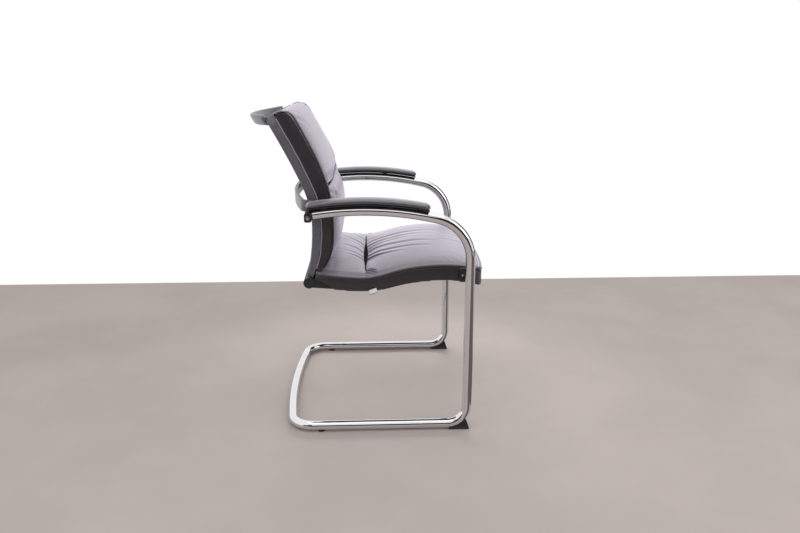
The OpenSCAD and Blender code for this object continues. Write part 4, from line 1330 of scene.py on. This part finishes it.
    def _wrinkle_rear(self) -> None:
        """Fans short folds rearward from the crease, with slack ones near the back."""
        points, out = coordinates(self.rear.obj), normals(self.rear.obj)
        run = np.maximum(self.form.crease_x - points[:, 0], 0)
        folds = self.short_folds.height(run, points[:, 1] - self.fold_middle)
        folds += self.slack_folds.height(np.maximum(points[:, 0] - self.slack_x, 0), points[:, 1])
        points = pushed(points, out, folds, 2)
        end = rise(points[:, 0], *self.rear_place)
        points[:, 0] -= self.rear_tuck * end
        points[:, 2] -= self.rear_fall * end * np.clip(0.6 - out[:, 2], 0, 1)
        self._pinch(points, -1)
        set_coordinates(self.rear.obj, points)


@dataclass
class BackPadding:
    """The leather of the back: side gussets with a welt and piping, and two cushions with a pinched crease.

    Attributes:
        form: the back's rear line and its flange.
        holders: nodes that hold the hide of the cushions, with their reach.
        upper_folds, lower_folds: folds that run up and down from the crease.
        upper_cross, lower_cross: distance from the crease and depth of the fold across each cushion.
        crease_close: how far each cushion's edge moves over the crease, over the run crease_run.
        cross_width, cross_half, cross_bow: width, half length and bow of that fold.
        fullness, belly_half, belly_height: swell of the middle beside the crease, and its reach.
        far_fullness, far_side, far_bulge: swell of the far side, and where it lies across and over the crease.
        hang, hang_half, hang_height: how far the crease hangs down in the middle, and the reach of that.
        gusset_swell: how far the gussets swell between their seams.
        gusset_skin: depth of the outer skin that swells.
        seam_gap, rear_seam, fore_seam: where the swell begins and ends, as depths forward of the flange.
        tip_place, tip_drop: where the low tip of the gussets begins, and how far it is drawn down.
        welt_r, welt_wave, welt_depth, welt_out: radius, waviness and place of the pale welt.
        far_bead_set, far_bead_place: how far back the far piping is set, and where.
        seam_shift: move of the roll inside the piping, for the left side.
        highlight_shift, highlight_slim: move and slimming of the pale strand outside it, a painted highlight of the
            gusset's rolled front edge.
    """

    form: BackForm = BackForm()
    holders: tuple[tuple[str, float], ...] = (("back_foam", 0.0022),)
    upper_folds: Wrinkles = Wrinkles(5, 0.0020, 0.007, 0.07, 0.6, 3, span=0.19)
    lower_folds: Wrinkles = Wrinkles(5, 0.0015, 0.008, 0.10, 0.7, 9, span=0.19)
    upper_cross: Pair = (0.020, 0.0016)
    lower_cross: Pair = (0.017, 0.0042)
    cross_width: float = 0.0045
    cross_half: float = 0.2
    cross_bow: float = 0.005
    crease_close: float = 0.0040
    crease_run: float = 0.02
    fullness: float = 0.008
    belly_half: float = 0.205
    belly_height: float = 0.075
    far_fullness: float = 0.006
    far_side: Pair = (0.12, 0.06)
    far_bulge: Pair = (0.035, 0.045)
    hang: float = 0.010
    hang_half: float = 0.21
    hang_height: float = 0.05
    gusset_swell: float = 0.0024
    gusset_skin: float = 0.0012
    seam_gap: float = 0.0005
    rear_seam: Pair = (0.0, 0.010)
    fore_seam: Pair = (0.036, -0.012)
    tip_place: Pair = (0.447, -0.026)
    tip_drop: float = 0.0085
    welt_r: float = 0.0013
    welt_wave: float = 0.0006
    welt_depth: float = 0.0016
    welt_out: float = 0.0012
    welt_ends: Pair = (0.02, 0.015)
    welt_steps: int = 259
    far_bead_set: float = 0.008
    far_bead_place: Pair = (0.60, 0.04)
    seam_shift: Point = (0.0008, -0.0050, 0.0)
    highlight_shift: Point = (-0.0058, 0.0008, 0.0016)
    highlight_slim: float = 0.0008

    def build(self, room: PaddingRoom) -> None:
        """Adds the back's padded pieces to the padding room."""
        self.upper = room.add(Padding("shoulder_cushion", "back_cushion", self.holders, cap=0.005, shrink=0.002))
        self.lower = room.add(Padding("lumbar_pad", "lumbar_cushion", self.holders, cap=0.006, shrink=0.0025))
        self.core = room.add(Padding("back_core", "back_foam", (), voxel=0.006, cloth=False, levels=0))
        self.gussets = {side: room.add(Padding(f"side_gusset_{side.word}", f"gusset_{side.word}", (), voxel=0.0011,
                                               cloth=False, levels=0)) for side in Side}

    def dress(self) -> None:
        """Wrinkles the cushions, lays welts, piping and a painted highlight strand on each gusset's front edge, and
        places all pieces.
        """
        self._fold(self.upper.obj, 1, self.upper_folds, *self.upper_cross)
        self._fold(self.lower.obj, -1, self.lower_folds, *self.lower_cross)
        for pad in (self.upper, self.lower):
            pad.place(Body.BACK, Finish.LIT_FACE_HIDE, 0.75)
        self.core.place(Body.BACK, Finish.FOAM, 1.0)
        for side, gusset in self.gussets.items():
            self._puff_gusset(gusset.obj, side)
            gusset.place(Body.BACK, Finish.SIDE_HIDE, 0.9)
            bead = self._strand(side, "back_bead", (0.0, 0.0, 0.0))
            if side is Side.LEFT:
                points = coordinates(bead)
                points[:, 0] -= self.far_bead_set * rise(points[:, 2], *self.far_bead_place)
                set_coordinates(bead, points)
            placed(bead, Body.BACK, Finish.PIPING_HIDE, f"back_piping_{side.word}")
            placed(self._strand(side, "back_seam_roll", self.seam_shift), Body.BACK, Finish.LIT_FACE_HIDE)
            # A pale strand on each gusset's front edge, standing in for the highlight of its rolled edge: a painted
            # highlight.
            placed(self._strand(side, "gusset_fore_highlight", self.highlight_shift, self.highlight_slim), Body.BACK, Finish.WELT)
            self._welt(side)

    def _strand(self, side: Side, name: str, shift: Point, slim: float = 0.0) -> bpy.types.Object:
        """Copies the back's piping on one side.

        Args:
            side: the side of the chair.
            name: the copy's name, but for the side.
            shift: move of the copy, for the left side.
            slim: how much thinner it gets.

        Returns:
            The smooth copy.
        """
        strand = subdivided(welded_copy(f"back_piping_{side.word}", f"{name}_{side.word}", 0.0), 1)
        points = coordinates(strand) + np.array(shift) * (1.0, side.value, 1.0)
        set_coordinates(strand, points - normals(strand) * slim)
        return smoothed(strand, 80)

    def _puff_gusset(self, obj: bpy.types.Object, side: Side) -> None:
        """Swells the gusset outwards between its seams, with a slow unevenness along it."""
        points = coordinates(obj)
        depth = self.form.depths(points)
        swell = rise(self.seam_gap + np.clip(depth, 0, None), *self.rear_seam) * rise(depth, *self.fore_seam)
        uneven = 1 + 0.25 * np.sin(points[:, 2] * 46 + 1.2) + 0.15 * np.sin(points[:, 2] * 121)
        outer = side.value * points[:, 1] > self.form.gusset_half_w - self.gusset_skin
        points[:, 1] += side.value * outer * self.gusset_swell * swell * uneven
        points[:, 2] -= self.tip_drop * rise(points[:, 2], *self.tip_place)
        set_coordinates(obj, points)

    def _welt(self, side: Side) -> None:
        """Lays the thin pale wavy edge where the gusset meets the moulded frame."""
        start, trim = self.welt_ends
        run = self.form.line.length - start - trim
        dice = np.random.default_rng(31)
        waves = [(dice.uniform(60, 140), dice.uniform(0, 6.3), dice.uniform(0.2, 0.6)) for _ in range(4)]
        path = []
        for i in range(self.welt_steps + 1):
            s = start + run * i / self.welt_steps
            wave = sum(size * math.sin(rate * s + phase) for rate, phase, size in waves) * self.welt_wave
            x, z = self.form.point(s, self.form.flange_at(s) + self.welt_depth + wave)
            path.append((x, side.value * (self.form.gusset_half_w + self.welt_out + wave * 0.6), z))
        placed(swept(f"gusset_welt_{side.word}", np.array(path), self.welt_r, 8), Body.BACK, Finish.WELT)

    def _fold(self, obj: bpy.types.Object, way: int, folds: Wrinkles, distance: float, depth: float) -> None:
        """Presses soft folds into a cushion, away from the crease.

        Args:
            obj: the cushion.
            way: 1 where the cushion lies over the crease, -1 where it lies under it.
            folds: the folds that run from the crease.
            distance: distance of the fold across the cushion from the crease.
            depth: depth of that fold.
        """
        points, out = coordinates(obj), normals(obj)
        along = np.maximum(way * (points[:, 2] - self.form.crease_z), 0)
        height = folds.height(along, points[:, 1])
        height += self._cross_fold(points, self.form.crease_z + way * distance, depth)
        points = pushed(points, out, height + self._belly(points), 0)
        closed = way * self.crease_close * np.clip(1 - along / self.crease_run, 0, 1)
        points[:, 2] -= closed + self._slump(points)
        set_coordinates(obj, points)

    def _belly(self, points: np.ndarray) -> np.ndarray:
        """Extra fullness of the middle of the back beside the crease."""
        over = points[:, 2] - self.form.crease_z
        far = rise(points[:, 1], *self.far_side) * bell(over, *self.far_bulge)
        middle = dome(points[:, 1], 0.0, self.belly_half)
        return self.fullness * middle * bell(over, 0.0, self.belly_height) + self.far_fullness * far

    def _slump(self, points: np.ndarray) -> np.ndarray:
        """How far the crease hangs down in the middle of the back."""
        middle = dome(points[:, 1], 0.0, self.hang_half)
        return self.hang * middle * bell(points[:, 2], self.form.crease_z, self.hang_height)

    def _cross_fold(self, points: np.ndarray, height: float, depth: float) -> np.ndarray:
        """A fold that runs across the back near the crease and fades at the middle."""
        edge = np.clip(np.abs(points[:, 1]) / self.cross_half, 0, 1) ** 2
        line = height + self.cross_bow * (1 - edge)
        return -depth * (0.3 + 0.7 * edge) * bell(points[:, 2], line, self.cross_width)


@dataclass(frozen=True)
class CareTag:
    """The small blank tape tag under the right of the seat.

    Attributes:
        node: the CAD node that it stands for.
        wide: width of the tape.
        tall: height of the tape.
        thick: thickness of the tape.
        slope: angle in degrees at which it hangs.
        offset: its top middle, from the node's low X and Y and high Z.
        curl: how far its foot stands out.
        ripple: depth of its wave across.
        rows: faces along and across.
    """

    node: str = "care_tag"
    wide: float = 0.0205
    tall: float = 0.0135
    thick: float = 0.0004
    slope: float = 18.0
    offset: Point = (0.0135, -0.0085, 0.004)
    curl: float = 0.002
    ripple: float = 0.0006
    rows: int = 10

    def build(self) -> None:
        """Builds the tag as a folded sheet of tape in the place of its solid."""
        low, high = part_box(self.node)
        top = Vector((low.x, low.y, high.z)) + Vector(self.offset)
        ticks = range(self.rows + 1)
        points = [self._point(top, i / self.rows - 0.5, j / self.rows) for i in ticks for j in ticks]
        step = self.rows + 1
        faces = [(a, a + 1, a + step + 1, a + step)
                 for a in (i * step + j for i in range(self.rows) for j in range(self.rows))]
        tag = mesh_object("tape_tag", points, faces)
        tag.data.materials.append(material_of(Finish.TAPE))
        tag.data.materials.append(material_of(Finish.TAPE_EDGE))
        for number, face in enumerate(tag.data.polygons):
            face.material_index = int(number % self.rows in (0, self.rows - 1))
        tag.modifiers.new("tape", "SOLIDIFY").thickness = self.thick
        baked(tag)
        placed(tag, Body.SEAT, Finish.TAPE, self.node)

    def _point(self, top: Vector, u: float, v: float) -> Point:
        """A place on the hung tape, at a share u of its width from the middle and v of its height down."""
        turn = math.radians(self.slope)
        x, z = self.wide * u, -self.tall * v
        return (top.x + x * math.cos(turn) - z * math.sin(turn),
                top.y - self.curl * v * v + self.ripple * math.sin(5 * u),
                top.z + x * math.sin(turn) + z * math.cos(turn))


# Studio


@dataclass(frozen=True)
class Photograph:
    """The photograph's camera, as worked out from the tube and the floor line."""

    place: Point = (0.0081, -1.9761, 0.9381)
    pitch: float = 15.9
    yaw: float = 2.41
    lens: float = 31.56
    sensor: float = 36.0
    near: float = 0.05

    def build(self) -> None:
        """Makes the camera and gives it to the scene."""
        data = bpy.data.cameras.new("photograph")
        data.lens = self.lens
        data.sensor_width = self.sensor
        data.clip_start = self.near
        camera = linked("photograph", data)
        camera.location = self.place
        camera.rotation_euler = (math.radians(90 - self.pitch), 0.0, math.radians(-self.yaw))
        bpy.context.scene.camera = camera


@dataclass(frozen=True)
class Lamp:
    """A soft area lamp.

    Attributes:
        name: the lamp's name.
        place: where it hangs.
        turn: its rotation in degrees.
        size: its width and height.
        power: its power in watts.
        spread: the angle in degrees over which it shines.
        in_gloss: whether it shows in gloss.
    """

    name: str
    place: Point
    turn: Point
    size: Pair
    power: float
    spread: float = 180.0
    in_gloss: bool = True

    def build(self) -> None:
        """Hangs the lamp."""
        data = bpy.data.lights.new(self.name, "AREA")
        data.shape = "RECTANGLE"
        data.size, data.size_y = self.size
        data.energy = self.power
        data.spread = math.radians(self.spread)
        lamp = linked(self.name, data)
        lamp.location = self.place
        lamp.rotation_euler = [math.radians(angle) for angle in self.turn]
        lamp.visible_glossy = self.in_gloss
        lamp.visible_camera = False


@dataclass(frozen=True)
class Studio:
    """A plain pale floor, a white surround, soft lamps, and dark panels that only gloss sees.

    Attributes:
        floor_colour: colour of the floor.
        floor_worn: share of that colour where the floor is worn.
        floor_rear: where the floor ends behind the chair.
        floor_reach: how far it runs the other ways.
        world_strength: strength of the surround as a light.
        lamps: the lamps.
        panels: name, both ends in plan and height of each dark panel.
        panel_tone: tone of the panels.
        shade_start: X of the dark wedges' points, and their distance from the middle.
        shade_turns: headings of the wedges' sides, in degrees.
        shade_reach: length of the wedges.
        shade_levels: height of the right wedge and of the left one.
        shade_tone: tone of the wedges.
    """

    floor_colour: Colour = (0.50, 0.44, 0.42)
    floor_worn: float = 0.9
    floor_rear: float = 1.09
    floor_reach: float = 7.0
    world_strength: float = 0.86
    lamps: tuple[Lamp, ...] = (
        Lamp("top_lamp", (0.2, -0.3, 2.9), (0.0, 0.0, 0.0), (2.6, 2.6), 9.0),
        Lamp("window_lamp", (2.6, -1.4, 1.9), (0.0, 62.0, -28.0), (1.6, 1.6), 12.0),
        Lamp("rear_lamp", (0.05, 1.0, 0.75), (-56.0, 0.0, 0.0), (0.9, 0.4), 1.7, spread=75.0, in_gloss=False),
        Lamp("low_lamp", (-0.4, -3.0, 0.9), (74.0, 0.0, 0.0), (2.4, 0.8), 7.0, in_gloss=False),
    )
    panels: tuple[tuple[str, Pair, Pair, float], ...] = (
        ("dark_room_front", (-4.5, -4.0), (4.5, -4.0), 1.9),
        ("dark_room_left", (-2.0, -3.3), (-0.9, -3.4), 2.6),
        ("dark_room_right", (1.0, -3.6), (3.0, -2.3), 2.8),
        ("dark_rear_right", (2.8, 0.3), (1.6, 2.4), 2.6),
    )
    panel_tone: float = 0.028
    shade_start: Pair = (0.258, 0.279)
    shade_turns: Pair = (14.0, 66.0)
    shade_reach: float = 3.0
    shade_levels: Pair = (0.0006, 0.0010)
    shade_tone: float = 0.10

    def build(self) -> None:
        """Builds the floor, the world, the lamps and the dark panels."""
        self._floor()
        self._world()
        for lamp in self.lamps:
            lamp.build()
        for panel in self.panels:
            self._flag(*panel)
        for number, level in enumerate(self.shade_levels):
            self._shade(f"dark_floor_{number}", (self.shade_start[0], (2 * number - 1) * self.shade_start[1]), level)

    def _floor(self) -> None:
        """Lays the floor with a faint mottle."""
        reach, rear = self.floor_reach, self.floor_rear
        corners = [(-reach, -reach, 0), (reach, -reach, 0), (reach, rear, 0), (-reach, rear, 0)]
        floor = mesh_object("floor", corners, [(0, 1, 2, 3)])
        material, graph, shader, place = start_material("pale_floor")
        mottle = graph.ramp(graph.noise(place, 2.3, 6.0, 0.6), 0.3, 0.75)
        tone = graph.mix_colour(mottle, rgba(self.floor_colour, self.floor_worn), rgba(self.floor_colour))
        graph.feed_all(shader, Base_Color=tone, Roughness=0.9, Specular_IOR_Level=0.0)
        floor.data.materials.append(material)

    def _world(self) -> None:
        """Gives white to the camera, gloss and glass, and a plain soft light to the rest."""
        world = bpy.data.worlds.new("surround")
        bpy.context.scene.world = world
        world.use_nodes = True
        graph = Graph(world.node_tree)
        path = graph.node("ShaderNodeLightPath")
        seen = graph.maths("MAXIMUM", path.outputs["Is Camera Ray"], path.outputs["Is Glossy Ray"])
        seen = graph.maths("MAXIMUM", seen, path.outputs["Is Transmission Ray"])
        lift = graph.maths("MULTIPLY", seen, 1.0 - self.world_strength)
        strength = graph.maths("ADD", lift, self.world_strength)
        white = graph.node("ShaderNodeBackground", Color=(1.0, 1.0, 1.0, 1.0), Strength=strength)
        graph.node("ShaderNodeOutputWorld", Surface=white.outputs[0])

    def _flag(self, name: str, start: Pair, end: Pair, top: float) -> None:
        """Stands a dark panel on the floor from one place to another, as the dark of a room."""
        corners = [(*start, 0.0), (*end, 0.0), (*end, top), (*start, top)]
        self._unlit(mesh_object(name, corners, [(0, 1, 2, 3)]), self.panel_tone)

    def _shade(self, name: str, start: Pair, level: float) -> None:
        """Lays a dark wedge on the floor that starts at a place and opens between two headings."""
        ends = [(start[0] + self.shade_reach * math.sin(math.radians(a)),
                 start[1] - self.shade_reach * math.cos(math.radians(a)), level) for a in self.shade_turns]
        self._unlit(mesh_object(name, [(*start, level), *ends], [(0, 1, 2)]), self.shade_tone)

    def _unlit(self, panel: bpy.types.Object, tone: float) -> None:
        """Gives a panel a dull finish of a tone that only gloss sees."""
        material, graph, shader, _ = start_material(panel.name)
        graph.feed_all(shader, Base_Color=rgba((tone, tone * 0.9, tone * 0.85)), Roughness=1.0)
        panel.data.materials.append(material)
        panel.visible_camera = False
        panel.visible_diffuse = False
        panel.visible_shadow = False


def main() -> None:
    """Builds the chair, sub-assembly by sub-assembly, then the studio."""
    logging.basicConfig(level=logging.INFO, format="%(name)s %(message)s")
    Photograph().build()
    room = PaddingRoom()
    seat, back, arms = SeatPadding(), BackPadding(), ArmPads()
    for pads in (seat, back, arms):
        pads.build(room)
    room.run()
    SteelTube().build()
    for part in SINGLE_PARTS:
        part.build()
    for side in Side:
        for part in PAIRED_PARTS:
            part.build(f"_{side.word}")
    seat.dress(StitchTree().build(material_of(Finish.THREAD)))
    back.dress()
    arms.dress()
    CareTag().build()
    Studio().build()
    scene = bpy.context.scene
    scene.view_settings.view_transform = "Standard"


if __name__ == "__main__":
    main()
